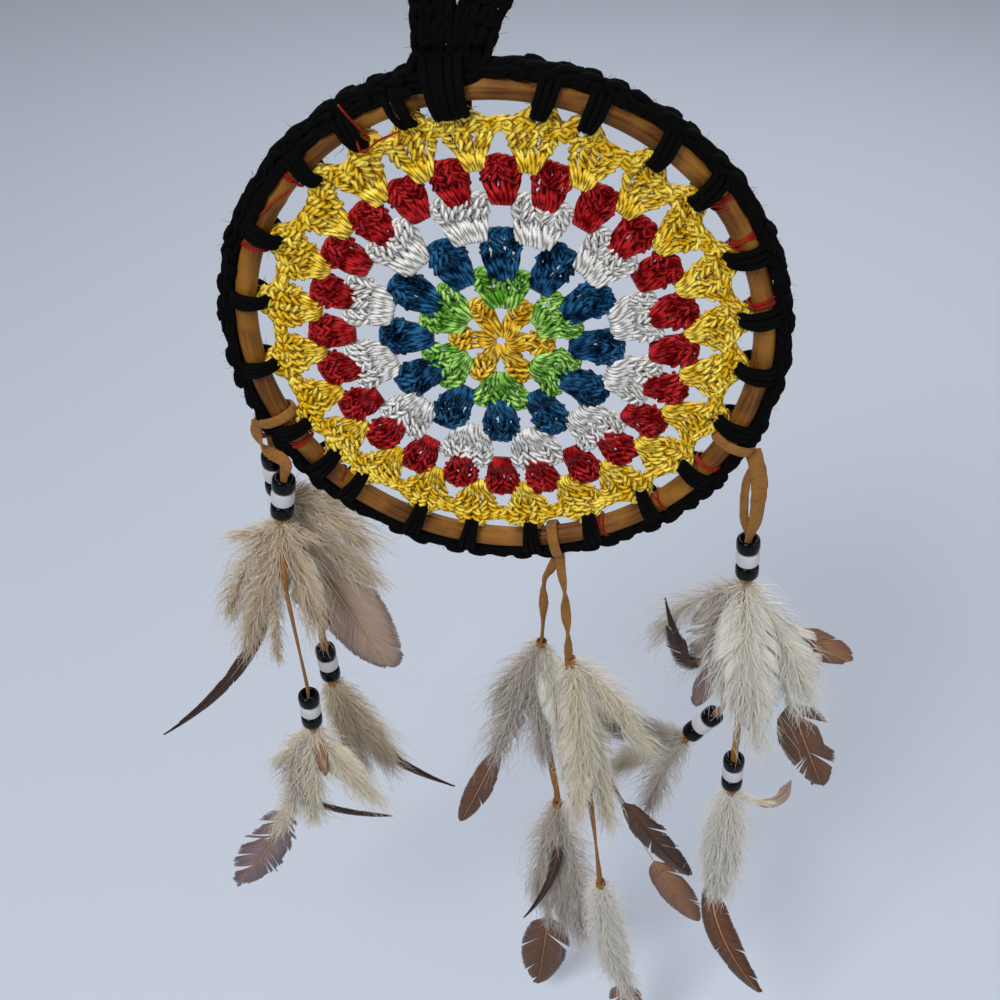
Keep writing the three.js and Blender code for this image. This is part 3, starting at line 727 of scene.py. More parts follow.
# A cluster of stitches is slim at its foot, fullest past the middle and drawn in at its head.
def addRound(
    stock, finish, rng, heads, feet, footRadius, reach, footWidth, fullWidth, headWidth, posts, crown,
    fullAt=0.62, belly=1.0, chained=True,
):
    values = yarnValues
    strandRadius, orbit = values["strand"] / 2, values["orbit"]
    share = np.linspace(0, 1, 8)
    postLines, footLines, wrapLines, headEnds = [], [], [], []
    for headAngle, footAngle in zip(heads, feet):
        headAngle = headAngle + rng.normal(0, values["angleDrift"])
        reachHere = reach + rng.normal(0, values["reachDrift"])
        headWay, footWay = polar(1.0, headAngle), polar(1.0, footAngle)
        sideWay = unit(polar(1.0, headAngle + 90) + polar(1.0, footAngle + 90))
        plump = rng.uniform(*values["plump"])

        def at(across, s, aside, depth):
            s = np.asarray(s, float)[:, None]
            swell = np.sin(np.pi / 2 * np.clip(s / fullAt, 0, 1)) ** belly
            narrow = np.clip((s - fullAt) / (1.001 - fullAt), 0, 1) ** 2
            half = footWidth / 2 + (fullWidth - footWidth) / 2 * plump * swell
            half = half - (fullWidth - headWidth) / 2 * narrow
            rise = footWay * footRadius * (1 - s) + headWay * (reachHere - crown * across**2) * s
            beside = sideWay * (across * half + np.asarray(aside)[:, None])
            return rise + beside + away * np.asarray(depth)[:, None]

        spread = values["postSpread"]
        sideShares = np.linspace(-spread, spread, posts) + rng.normal(0, 0.03, posts)
        for across in sideShares:
            start, way = rng.uniform(0, 2 * np.pi), rng.choice([-1, 1])
            wide = orbit * (0.6 + 0.4 * share) * rng.uniform(0.9, 1.12)
            for ply in range(2):
                wind = start + 2 * np.pi * (ply / 2 + way * values["wind"] * share)
                depth = values["postDepth"] * wide * np.sin(wind)
                postLines.append(at(across, 0.03 + share * 0.9, wide * np.cos(wind), depth))
            for aside in (-values["footAside"], values["footAside"]):
                ends = rng.uniform(*values["footEnds"], 2) * (reachHere - footRadius)
                rise = np.array([ends[0], *values["footRises"], ends[1]])
                depth = np.array(values["footDepths"])
                sway = aside + rng.normal(0, 0.12) + 0.2 * np.sin(depth)
                footLines.append(at(across * 0.9, rise / (reachHere - footRadius), sway, depth))
            for face in (-1, 1):
                bar = np.linspace(-1, 1, 5)
                lean = rng.uniform(*values["wrapLean"]) * rng.choice([-1, 1])
                for middle in [rng.uniform(*span) for span in values["wrapAt"]]:
                    bulge = face * (0.85 + 0.8 * np.cos(bar * np.pi / 2))
                    wrapLines.append(at(across, middle + lean * bar, values["wrapHalf"] * bar, bulge))
        crownShares = np.linspace(-1, 1, 9)
        crownLine = np.concatenate([at(c, [0.96], [0], [0]) for c in crownShares])
        headEnds.append(crownLine)
        pitch = max(1.8, headWidth / posts * 0.9)
        half, tilt = values["crownHalf"], values["crownTilt"]
        addChain(stock, finish, crownLine, pitch, half, strandRadius, tilt=tilt, loose=rng)
    sweep(stock, finish, postLines, strandRadius)
    sweep(stock, finish, footLines, strandRadius * values["footThick"])
    sweep(stock, finish, wrapLines, strandRadius * values["wrapThick"])
    if not chained:
        return
    chainRadius = reach - values["chainSag"] + values["chainRise"]
    for k, crownLine in enumerate(headEnds):
        begin, end = crownLine[-2], headEnds[(k + 1) % len(headEnds)][1]
        middle = unit((begin + end) / 2) * chainRadius
        dip = unit(middle) * values["chainDip"]
        line = smoothLine([begin, (begin + middle) / 2 - dip, middle, (end + middle) / 2 - dip, end], 0.5)
        thick = strandRadius * values["chainThick"]
        addChain(stock, finish, line, values["chainPitch"], values["chainHalf"], thick)


def footOn(reach):
    return reach - yarnValues["chainSag"] + yarnValues["footRise"]


roundValues = {
    "flower": {
        "finish": "gold", "heads": evenly(6, 0), "feet": evenly(6, 0), "footRadius": 2.4,
        "footWidth": 2.0, "fullWidth": 6.4, "headWidth": 5.6, "posts": 3, "crown": 1.6,
    },
    "green": {
        "finish": "lime", "heads": inPairs(6, 30, 13.5), "feet": inPairs(6, 30, 6.5),
        "footRadius": footOn(reachOf["flower"]), "footWidth": 4.0, "fullWidth": 7.8, "headWidth": 6.4,
        "posts": 3, "crown": 1.2,
    },
    "blue": {
        "finish": "teal", "heads": evenly(12, 0), "feet": evenly(12, 0),
        "footRadius": footOn(reachOf["green"]), "footWidth": 6.6, "fullWidth": 12.8, "headWidth": 10.6,
        "posts": 5, "crown": 1.7,
    },
    "white": {
        "finish": "white", "heads": inPairs(12, 15, 5.6), "feet": inPairs(12, 15, 3.7),
        "footRadius": footOn(reachOf["blue"]), "footWidth": 5.0, "fullWidth": 8.8, "headWidth": 7.6,
        "posts": 4, "crown": 1.2,
    },
    "red": {
        "finish": "red", "heads": evenly(24, 0), "feet": evenly(24, 0),
        "footRadius": footOn(reachOf["white"]), "footWidth": 5.6, "fullWidth": 12.0, "headWidth": 10.2,
        "posts": 5, "crown": 1.6,
    },
}


def makeRound(name, seed):
    values = roundValues[name]
    stock, rng = newStock(), np.random.default_rng(seed)
    addRound(stock, rng=rng, reach=reachOf[name], **values)
    if name == "flower":
        # The ring of chain that the petals start from.
        addChain(stock, "gold", polar(2.9, np.linspace(0, 360, 40)), 1.7, 0.5, 0.55, ring=True)
    piece = makePiece(f"crochet_{name}_round", stock, hoopCentre)
    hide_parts(f"{name}_round")
    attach(piece, "hoop")
    return len(piece.data.polygons)


for seed, name in enumerate(roundValues):
    print("round", name, makeRound(name, 20 + seed))

bandValues = {
    "inset": 6.7,
    "width": 6.0,
    "pitch": 3.45,
    "footWidth": 5.6,
    "fanWidth": 17.0,
    "posts": 5,
    "hollow": 2.4,  # how far the band's edge falls back between two points
    "pointSpread": 3.4,  # degrees over which a point is drawn out
    "tipInset": 0.6,
    "orbit": 0.85,
    "orbitDepth": 1.05,
    "wrapAt": ((0.2, 0.4), (0.6, 0.85)),
    "wrapHalf": 1.5,
    "rimPitch": 3.4,
    "rimHalf": 0.95,
    "rimDepth": 0.7,
    "thick": 1.08,  # strands of posts and rim against those of the rounds
    "wrapThick": 1.05,
    "pointLoops": ((3.4, 0.2, -1.2), (2.6, -0.6, 0.1), (3.2, 0.0, 1.2)),  # half width, past the tip, depth
}


# The border: fans that run together in a band, drawn out to a point at each stitch of the edging.
def makeBorder():
    values = bandValues
    stock, rng = newStock(), np.random.default_rng(31)
    bandRadius = hoopInner - values["inset"]
    inner, outer = bandRadius - values["width"] / 2, bandRadius + values["width"] / 2
    strandRadius = yarnValues["strand"] / 2
    fans = evenly(24, 7.5)
    addRound(
        stock, "yellow", rng, fans, fans, footOn(reachOf["red"]), inner + 2.2, values["footWidth"],
        values["fanWidth"], values["fanWidth"], values["posts"], 0.3, fullAt=1.0, belly=1.5, chained=False,
    )
    pulled = np.array([*stitchAngles, strapAngle])
    tip = hoopInner - values["tipInset"]

    def edgeAt(angle):
        off = (np.asarray(angle, float)[..., None] - pulled + 180) % 360 - 180
        pull = np.exp(-((off / values["pointSpread"]) ** 2)).max(-1)
        return outer - values["hollow"] + (tip - outer + values["hollow"]) * pull

    count = round(2 * np.pi * bandRadius / values["pitch"])
    share = np.linspace(0, 1, 7)
    posts, wraps = [], []
    for k in range(count):
        angle = 360 * k / count + rng.normal(0, 0.3)
        lean = rng.uniform(-1.6, 1.6)
        start = rng.uniform(0, 6.3)
        reach = inner + 0.4 + (edgeAt(angle) - inner - 1.0) * share
        across = polar(1.0, angle + 90)
        for ply in range(3):
            wind = start + 2 * np.pi * (ply / 3 + 0.5 * share)
            aside = values["orbit"] * np.cos(wind) + lean * (share - 0.5)
            posts.append(polar(reach, angle, values["orbitDepth"] * np.sin(wind)) + across * aside[:, None])
        bar = np.linspace(-1, 1, 5)
        for face in (-1, 1):
            for middle in [rng.uniform(*span) for span in values["wrapAt"]]:
                slant = rng.choice([-1, 1]) * rng.uniform(0.4, 1.2) * bar
                bulge = face * (0.9 + 0.85 * np.cos(bar * np.pi / 2))
                wrap = polar(np.interp(middle, share, reach) + slant, angle, bulge)
                wraps.append(wrap + across * (values["wrapHalf"] * bar)[:, None])
    thickRadius, wrapRadius = strandRadius * values["thick"], strandRadius * values["wrapThick"]
    sweep(stock, "yellow", posts, thickRadius)
    sweep(stock, "yellow", wraps, wrapRadius)
    circle = np.linspace(0, 360, 721)
    for face in (-1, 1):
        rim = polar(edgeAt(circle) - values["rimDepth"], circle, face * values["rimDepth"])
        addChain(
            stock, "yellow", rim, values["rimPitch"], values["rimHalf"], thickRadius, tilt=face * 0.6,
            ring=True, loose=rng,
        )
    # Each point is loops over the leg that pulls on it.
    points = []
    for angle in pulled:
        alongWay, sideWay = polar(1.0, angle), polar(1.0, angle + 90)
        for usual, past, depth in values["pointLoops"]:
            half, top = usual * rng.uniform(0.85, 1.1), tip + past
            right = [(half * 0.45, top - 1.0), (half * 0.8, bandRadius + 2.8), (half, bandRadius + 0.8)]
            outline = [*((-a, r) for a, r in right[::-1]), (0, top), *right]
            line = np.array([alongWay * r + sideWay * a + away * depth for a, r in outline])
            points.append(evenLine(smoothLine(line, 0.6), 14))
    sweep(stock, "yellow", points, wrapRadius)
    piece = makePiece("crochet_yellow_border", stock, hoopCentre)
    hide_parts("yellow_border")
    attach(piece, "hoop")
    return len(piece.data.polygons)


print("border", makeBorder())


# Black edging and hanger, in brushed yarn with stray hairs.
edgingValues = {
    "inner": 90.5,
    "outer": 94.7,
    "pitch": 6.0,
    "strand": 2.8,
    "legGap": 2.5,
    "noseInset": 3.9,  # how far the legs reach inside the rod
    "halfDepth": 5.6,
    "hairs": 3800,
    "hairLength": (0.9, 3.2),
    "hairRadius": 0.08,
    "shoulder": (97, 152),  # degrees between which the yarn lies thicker on the rod
    # Half widths and depths of the chains, and their strands against the main one.
    "rowHalf": 0.9,
    "rowDepth": 1.9,
    "rowThick": 0.82,
    "shoulderHalf": 0.8,
    "shoulderDepth": 3.6,
    "shoulderThick": 0.74,
    "legThick": 0.8,
    "knotHalf": 1.3,
    "knotThick": 0.85,
    "knotPitch": 3.6,
    "knotSpan": 2.6,  # degrees to each side of a leg
}


# Stray hairs stand off the yarn at random places along the given lines.
def addHairs(stock, finish, rng, places, yarnRadius, count, lengths):
    chosen = places[rng.integers(0, len(places), count)]
    way = unit(rng.normal(size=(count, 3)))
    curl = unit(rng.normal(size=(count, 3)))
    long = rng.uniform(*lengths, count)[:, None, None]
    share = np.linspace(0, 1, 4)[None, :, None]
    lines = chosen[:, None] + way[:, None] * (yarnRadius * 0.8 + long * share)
    lines = lines + curl[:, None] * long * 0.5 * share**2
    sweep(stock, finish, lines, edgingValues["hairRadius"] * (1 - 0.6 * share[..., 0]), sides=4)


def makeEdging():
    values = edgingValues
    stock, rng = newStock(), np.random.default_rng(41)
    strandRadius = values["strand"] / 2
    middle = (values["inner"] + values["outer"]) / 2
    circle = np.linspace(0, 360, 361)
    line = polar(middle, circle)
    addChain(stock, "black", line, values["pitch"], 1.1, strandRadius, ring=True, tilt=1.2, loose=rng)
    for face in (-1, 1):
        row = polar(middle - 0.9, circle + 1.4 * face, face * values["rowDepth"])
        addChain(
            stock, "black", row, values["pitch"], values["rowHalf"], strandRadius * values["rowThick"],
            tilt=face * 0.7, ring=True, loose=rng,
        )
        span = np.linspace(*values["shoulder"], 60)
        shoulder = polar(values["inner"] - 1.0, span, face * values["shoulderDepth"])
        addChain(
            stock, "black", shoulder, values["pitch"], values["shoulderHalf"],
            strandRadius * values["shoulderThick"], tilt=face * 0.5, loose=rng,
        )
    nose = hoopInner - values["noseInset"]
    outer = values["inner"] + 1.05
    turn = fullTurn(28)
    legs, ways = [], []
    for angle in stitchAngles:
        twist = rng.normal(0, 0.7)
        for aside in (-1.0, 0.0, 1.0):
            lean = aside * values["legGap"] + rng.normal(0, 0.2)
            ring = loopRound(nose, outer, values["halfDepth"] * rng.uniform(0.95, 1.02), angle, turn)
            gather = 0.9 * aside * np.clip(-np.cos(turn), 0, 1)  # legs draw together inside the hoop
            slant = twist * np.cos(turn) + 0.3 * aside * np.sin(turn) - gather
            legs.append(ring + polar(1.0, angle + 90) * (lean + slant)[:, None])
            ways.append([polar(1.0, angle + 90)])
    sweep(stock, "black", legs, strandRadius * values["legThick"], sides=8, faceWay=ways, closed=True)
    # A knot where each leg leaves the chain.
    for angle in stitchAngles:
        span = np.linspace(-values["knotSpan"], values["knotSpan"], 5)
        knot = polar(values["outer"] - 1.6, angle + span)
        for face in (-1, 1):
            row = knot + away * face * values["rowDepth"]
            thick = strandRadius * values["knotThick"]
            addChain(stock, "black", row, values["knotPitch"], values["knotHalf"], thick, tilt=0.6, loose=rng)
    places = np.concatenate([line, line, *legs])
    addHairs(stock, "black", rng, places, strandRadius * 1.5, values["hairs"], values["hairLength"])
    piece = makePiece("crochet_black_edging", stock, hoopCentre)
    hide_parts("edging")
    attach(piece, "hoop")


makeEdging()

hangerValues = {
    "bend": pinAt["hoop_swing"],
    "lean": 0.157,
    "shift": 2.5,
    # The middle of the right half of the loop, from the bend up: (across, up), and its width.
    "legLine": (
        (5.6, -4.0, 10.0), (6.2, 1.0, 10.6), (7.6, 8.0, 11.2), (9.4, 14.0, 11.2), (11.0, 21.5, 11.2),
        (12.3, 30.0, 11.4), (11.4, 39.5, 11.4), (7.4, 47.6, 11.4), (2.4, 51.3, 11.4), (0.0, 51.7, 11.4),
    ),
    "strand": 2.9,
    "pitch": 5.4,
    "columns": (-0.36, 0.0, 0.36),  # chain columns, as shares of the width
    "baseColumns": (-5.2, -2.6, 0.0, 2.6, 5.2),  # strands round the hoop, from its middle
    "neckColumns": (-7.4, -3.8, 0.0, 3.8, 7.4),
    "neckPitch": 4.6,
    "chainHalf": 1.5,
    "chainThick": 0.92,
    "drawnIn": 0.22,  # how far the strap narrows on the inside of the hoop
    "bendHalf": 4.0,  # half a stretch of strap about the point the hoop swings on
    "halfDepth": 6.2,
    "hairs": 2600,
}


# The hanger is one strap of crochet: round the hoop, up the neck and on as a loop for the hook.
def makeHanger():
    values = hangerValues
    stock, rng = newStock(), np.random.default_rng(43)
    strandRadius = values["strand"] / 2
    chainRadius = strandRadius * values["chainThick"]
    half = np.array(values["legLine"])
    whole = np.concatenate([half, (half * [-1, 1, 1])[::-1][1:]])
    middle = np.stack([whole[:, 0] + values["lean"] * whole[:, 1], 0 * whole[:, 0], whole[:, 1]], -1)
    middle = middle + values["bend"] + [values["shift"], 0, 3.3]
    line = smoothLine(middle, 1.0)
    nearest = np.argmin(np.linalg.norm(line[:, None] - middle[None], axis=2), axis=0)
    width = np.interp(np.arange(len(line)), nearest, whole[:, 2])
    beside = np.cross(away, unit(np.gradient(line, axis=0)))
    places = []
    for share in values["columns"]:
        for face in (-1, 1):
            column = line + beside * (share * width)[:, None] + away * face * 1.2
            places.append(column)
            addChain(
                stock, "black", column, values["pitch"], values["chainHalf"], chainRadius,
                tilt=face * 0.8, loose=rng,
            )
    nose = hoopInner - edgingValues["noseInset"]
    outer = edgingValues["outer"] + 1.6
    turn = fullTurn(36)
    rings, ways = [], []
    sideWay = polar(1.0, strapAngle + 90)
    for aside in values["baseColumns"]:
        gather = 1 - values["drawnIn"] * (1 - np.cos(turn)) / 2
        ring = loopRound(nose, outer, values["halfDepth"], strapAngle, turn)
        ring = ring + sideWay * (aside * gather + rng.normal(0, 0.15))[:, None]
        rings.append(ring + hoopCentre)
        ways.append([sideWay])
    sweep(stock, "black", rings, strandRadius, sides=8, faceWay=ways, closed=True)
    neckTop = values["bend"] + [values["shift"], 0, 3]
    neckFoot = hoopCentre + polar(outer - 3.0, strapAngle)
    for aside in values["neckColumns"]:
        for face in (-1, 1):
            neck = np.linspace(neckFoot, neckTop, 8) + [aside, face * 1.5, 0]
            addChain(
                stock, "black", neck, values["neckPitch"], values["chainHalf"], chainRadius,
                tilt=face * 0.8, loose=rng,
            )
            places.append(neck)
    places = np.concatenate([*places, *rings])
    addHairs(stock, "black", rng, places, strandRadius * 1.7, values["hairs"], edgingValues["hairLength"])
    piece = makePiece("crochet_hanger", stock)
    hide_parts("hanging_loop", "hanger_base")
    bend, half = values["bend"], up * values["bendHalf"]
    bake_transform(piece)


makeHanger()
print("edging and hanger made")

# Ends of red sewing thread left round the rod, as (from, to, turns round the rod, where it starts: 0.75
# is in front), the ties beside the legs that hold points of the border to it, and loose ends, as a place
# (angle, radius) and steps from it.
threadValues = {
    "thickness": 0.7,
    "stand": 0.34,
    "turns": (
        (141.5, 151.5, 0.2, 0.64), (40.2, 38.6, 1.3, 0.5), (29.8, 28.6, 1.2, 0.5), (-48, -46.6, 1.3, 0.5),
        (-140, -133, 1.2, 0.5),
    ),
    "ties": (121.5, 139, 158.2, 39.4, 29.4, 13.8, -32, -63, 212),
    "looseEnds": (
        ((119.5, 80.0), ((-3, -5, 6), (-7, -8, 13))),
        ((119.5, 80.0), ((-3, -4, 1), (-1.5, -6, -2), (4, -6, 2), (10, -6, 5))),
    ),
}


def makeThread():
    values = threadValues
    stock, rng = newStock(), np.random.default_rng(47)
    lines = []
    radius = rodRadius + values["stand"]
    share = np.linspace(0, 1, 60)
    for begin, end, turns, start in values["turns"]:
        wind = 2 * np.pi * (start + turns * share)
        angle = begin + (end - begin) * share + 0.5 * np.sin(share * 11)
        lines.append(polar(hoopRadius + radius * np.cos(wind), angle, radius * np.sin(wind)))
    for angle in values["ties"]:
        for _ in range(3):
            wind = 2 * np.pi * share
            reach = (radius + 1.1 * np.clip(-np.cos(wind), 0, 1) ** 2) * np.cos(wind)
            slant = angle + rng.uniform(-0.9, 0.9) + rng.uniform(-0.8, 0.8) * np.cos(wind)
            lines.append(polar(hoopRadius + reach, slant, radius * np.sin(wind)))
    for (angle, reach), ways in values["looseEnds"]:
        root = polar(reach, angle, -1.5)
        ends = [root, *(root + np.array(way, float) for way in ways)]
        lines.append(evenLine(smoothLine(ends, 0.4), 60))
    sweep(stock, "redThread", lines, values["thickness"] / 2)
    piece = makePiece("red_thread_ends", stock, hoopCentre)
    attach(piece, "hoop")


makeThread()

beadValues = {"diameter": 9.0, "length": 6.0, "bore": 4.8, "gap": 0.3, "squareness": 0.76}


def makeBead(name, node, centre, axis, finish, body):
    values = beadValues
    middle = (values["diameter"] + values["bore"]) / 4
    wall = (values["diameter"] - values["bore"]) / 4
    beside = unit(np.cross(axis, away))
    turn = fullTurn(36)[:, None]
    circle = centre + middle * (np.cos(turn) * beside + np.sin(turn) * np.cross(axis, beside))
    stock = newStock()
    sweep(
        stock, finish, [circle], values["length"] / 2, sides=20, thick=wall, faceWay=axis, closed=True,
        square=values["squareness"],
    )
    piece = makePiece(name, stock)
    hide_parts(node)
    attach(piece, body)
    return piece


def makeStack(label, top, heading, body):
    made = []
    for k in range(3):
        centre = top + heading * (beadValues["length"] / 2 + k * (beadValues["length"] + beadValues["gap"]))
        node = f"{label}_bead_{k + 1}"
        finish = "whiteBead" if k == 1 else "blackBead"
        made.append(makeBead(f"{node}_barrel", node, centre, heading, finish, body))
    return made


beads = {}
for (pendantName, strandName), made in strands.items():
    places, strand = made["places"], pendants[pendantName][strandName]
    label = f"{pendantName}_{strandName}"
    beads[label] = []
    if "beads" not in strand:
        continue
    if not (strand.get("shared") and strandName == "back"):
        top = places["top"] * [1, 0, 1] if strand.get("shared") else places["top"]
        beads[label] += makeStack(label, top, places["heading"], f"{pendantName}_pendant")
    beads[label] += makeStack(f"{label}_tail", places["tailTop"], places["tailHeading"], f"{label}_tail")
print("beads made")


# Feathers. A feather has its turn from straight down in degrees, its reach, and the width and finish of
# its down; then its bow, how far its tip stands forward, the share of it where the down ends and how full
# the down is (haze). The vane has its finish, the share where it starts, its width and its raggedness.
# A low blunt gives the vane a broad round end.
def feather(
    turn, reach, width, down, bow=0, forward=0, end=1.0, haze=1.0, vane=None, slim=False, blunt=0.55,
):
    finish, start, vaneWidth, ragged = vane or (None, 0.0, 0, 0.0)
    return {
        "turn": turn, "reach": reach, "width": width, "down": down, "bow": bow, "forward": forward,
        "end": end, "haze": haze, "vane": finish, "start": start, "vaneWidth": vaneWidth, "ragged": ragged,
        "slim": slim, "blunt": blunt,
    }


tuftValues = {
    "left_front": [
        feather(-18, 68, 24, "tanDown", forward=3, vane=("tanDown", 0.2, 13, 0.9)),
        feather(-28, 54, 22, "tanDown", bow=-3.2),
        feather(-68, 16, 17, "tanDown", bow=0.7, forward=2),
        feather(-7, 70, 14, "tanDown", bow=-1.4, forward=5),
        feather(12, 46, 26, "tanDown", bow=0.8, forward=6, vane=("tanDown", 0.15, 15, 0.9)),
        feather(87, 12, 12, "tanDown", forward=6),
        feather(-3, 22, 18, "tanDown", forward=7),
        feather(-28, 152, 12, "tanDown", bow=14.8, end=0.42, vane=("darkVane", 0.36, 6.0, 0.5), slim=True),
    ],
    "left_back": [
        feather(
            22, 101, 24, "tanDown", bow=-1.4, forward=-3, end=0.3,
            vane=("roseVane", 0.22, 33, 0.12), blunt=0.4,
        ),
        feather(59, 32, 26, "tanDown", bow=3.9),
        feather(40, 46, 24, "tanDown", bow=-1.2),
        feather(94, 20, 18, "tanDown", bow=3.5),
        feather(8, 74, 18, "tanDown", bow=3.2, forward=-1, end=0.7, vane=("fawnVane", 0.3, 13, 0.5)),
    ],
    "left_front_tail": [
        feather(-22, 136, 22, "creamDown", bow=6.2, end=0.55, vane=("mauveVane", 0.46, 21, 1.0)),
        feather(
            31, 64, 24, "greyDown", bow=-31.6, forward=2, end=0.6,
            vane=("darkVane", 0.5, 5, 0.1), blunt=0.35,
        ),
        feather(-5, 57, 22, "creamDown", bow=0.5, forward=2),
        feather(-37, 29, 14, "creamDown", forward=1),
        feather(30, 43, 28, "creamDown", bow=-1.1, forward=3, vane=("creamDown", 0.15, 17, 0.8)),
        feather(10, 25, 2, "creamDown", bow=0.7, forward=6.5, end=0.2, vane=("fawnVane", 0.12, 6.5, 0.6)),
    ],
    "left_back_tail": [
        feather(39, 87, 24, "tanDown", bow=-13.1, end=0.52, vane=("darkVane", 0.43, 7.6, 0.3), slim=True),
        feather(24, 51, 30, "tanDown", bow=-0.6, vane=("tanDown", 0.15, 17, 0.9)),
        feather(9, 54, 22, "tanDown", bow=-1.4, forward=2),
    ],
    "centre_front": [
        feather(24, 153, 12, "creamDown", bow=-10.9, forward=1, end=0.5, vane=("umberVane", 0.6, 14, 0.6)),
        feather(21, 195, 6, "creamDown", bow=-8.2, forward=-2, end=0.5, vane=("fawnVane", 0.72, 17, 0.3)),
        feather(40, 37, 26, "creamDown", bow=3.2),
        feather(35, 59, 26, "creamDown", bow=-1.0),
        feather(12, 100, 28, "creamDown", forward=4, vane=("creamDown", 0.1, 17, 0.9)),
        feather(5, 82, 26, "creamDown", bow=1.6, forward=13, vane=("creamDown", 0.1, 16, 0.9)),
        feather(11, 52, 24, "creamDown", bow=1.2, forward=12),
    ],
    "centre_back": [
        feather(-15, 67, 34, "greyDown", vane=("greyDown", 0.15, 18, 0.9)),
        feather(-29, 31, 28, "greyDown"),
        feather(2, 64, 24, "greyDown", bow=-1.5, forward=3),
        feather(10, 46, 10, "whiteDown", bow=2.2, forward=7, end=0.5, vane=("whiteDown", 0.04, 16, 0.4)),
        feather(10, 74, 18, "creamDown", bow=2.2, forward=8, haze=0.7),
        feather(-16, 131, 10, "greyDown", bow=2.0, end=0.55, vane=("brownVane", 0.56, 12, 0.2)),
    ],
    "centre_front_tail": [
        feather(11, 96, 30, "whiteDown", bow=-1.8, vane=("whiteDown", 0.15, 15, 0.9)),
        feather(8, 70, 24, "whiteDown", bow=-1.1, forward=2),
        feather(10, 125, 16, "whiteDown", bow=1.1, end=0.6, vane=("fawnVane", 0.7, 16, 0.5)),
    ],
    "centre_back_tail": [
        feather(8, 111, 34, "greyDown", bow=3.0),
        feather(-5, 83, 26, "greyDown", bow=-3.6),
        feather(4, 95, 30, "greyDown", bow=-1.4, forward=3, vane=("greyDown", 0.1, 18, 0.9)),
        feather(-2, 167, 16, "greyDown", bow=1.4, end=0.62, vane=("brownVane", 0.58, 25, 0.3)),
        feather(
            -10, 86, 4, "greyDown", bow=7.6, forward=10, end=0.3,
            vane=("darkVane", 0.3, 5.5, 0.3), slim=True,
        ),
    ],
    "right_front": [
        feather(10, 70, 34, "whiteDown", bow=-0.9, forward=16.5, vane=("whiteDown", 0.06, 22, 0.8)),
        feather(3, 53, 26, "whiteDown", forward=16, vane=("whiteDown", 0.06, 18, 0.8)),
        feather(29, 60, 32, "whiteDown", bow=2.9, forward=6, vane=("whiteDown", 0.15, 20, 0.9)),
        feather(-20, 42, 28, "greyDown", bow=-0.9, forward=2, vane=("greyDown", 0.15, 17, 0.9)),
        feather(-4, 52, 26, "whiteDown", bow=-2.3, forward=7),
        feather(-48, 40, 26, "greyDown", bow=-4.0, forward=1),
        feather(22, 124, 14, "whiteDown", forward=2, end=0.6, vane=("brownVane", 0.55, 20, 0.7)),
        feather(50, 61, 12, "whiteDown", bow=-4.8, end=0.5, vane=("fawnVane", 0.5, 16, 0.6)),
        feather(-90, 31, 10, "greyDown", bow=38.6, forward=10, end=0.4, vane=("darkVane", 0.42, 10, 1.3)),
        feather(-9, 74, 8, "creamDown", end=0.6, vane=("mauveVane", 0.6, 10, 0.5)),
    ],
    "right_front_tail": [
        feather(3, 66, 30, "whiteDown", bow=-1.8, forward=3, vane=("whiteDown", 0.1, 15, 0.9)),
        feather(7, 44, 24, "whiteDown", forward=3),
        feather(12, 165, 14, "whiteDown", bow=-16.2, end=0.45, vane=("tanVane", 0.4, 14, 0.15)),
        feather(111, 26, 8, "creamDown", bow=-12.2, end=0.5, vane=("roseVane", 0.3, 9, 0.7)),
    ],
    "right_back_tail": [
        feather(-93, 38, 30, "greyDown", bow=1.9, forward=-5, vane=("greyDown", 0.2, 12, 0.9)),
        feather(-43, 38, 30, "creamDown", forward=-5, haze=0.6),
        feather(-12, 54, 26, "greyDown", bow=-1.2, forward=-3, haze=0.45),
    ],
}
featherValues = {
    "downPerMm": 34.0,  # barbs in a millimetre of quill
    "mostBarbs": 4500,  # in one tuft
    "downWide": 0.165,  # half the width of a barb with its own soft fringe
    "downThin": 0.05,
    "flatness": 0.55,  # depth of the down against its width
    "wispShare": 0.14,  # barbs that stand out of the rest, longer and finer
    "vaneSpacing": 0.36,
    "vaneBarb": 0.31,
    "vaneThin": 0.06,
    "quillRoot": 0.5,
    "quillTip": 0.12,
    "rootBelow": 3.3,  # how far the roots lie below the beads or the tied end
    "whipRadius": 1.9,
    "whipThread": 0.36,
    "whipTurns": 6,
    "fullDepth": 20.0,  # past this far from the hoop's plane the down is pressed flatter
    "pressed": 0.55,
}


def spineOf(root, values):
    heading = headingOf(values["turn"])
    tip = root + heading * values["reach"] - away * values["forward"]
    bend = (root + tip) / 2 + np.cross(heading, away) * 2 * values["bow"] - away * values["forward"] * 0.3

    def spine(share):
        share = np.asarray(share, float)[..., None]
        return root * (1 - share) ** 2 + bend * 2 * share * (1 - share) + tip * share**2

    def ahead(share):
        share = np.asarray(share, float)[..., None]
        return unit((bend - root) * (1 - share) + (tip - bend) * share)

    return spine, ahead


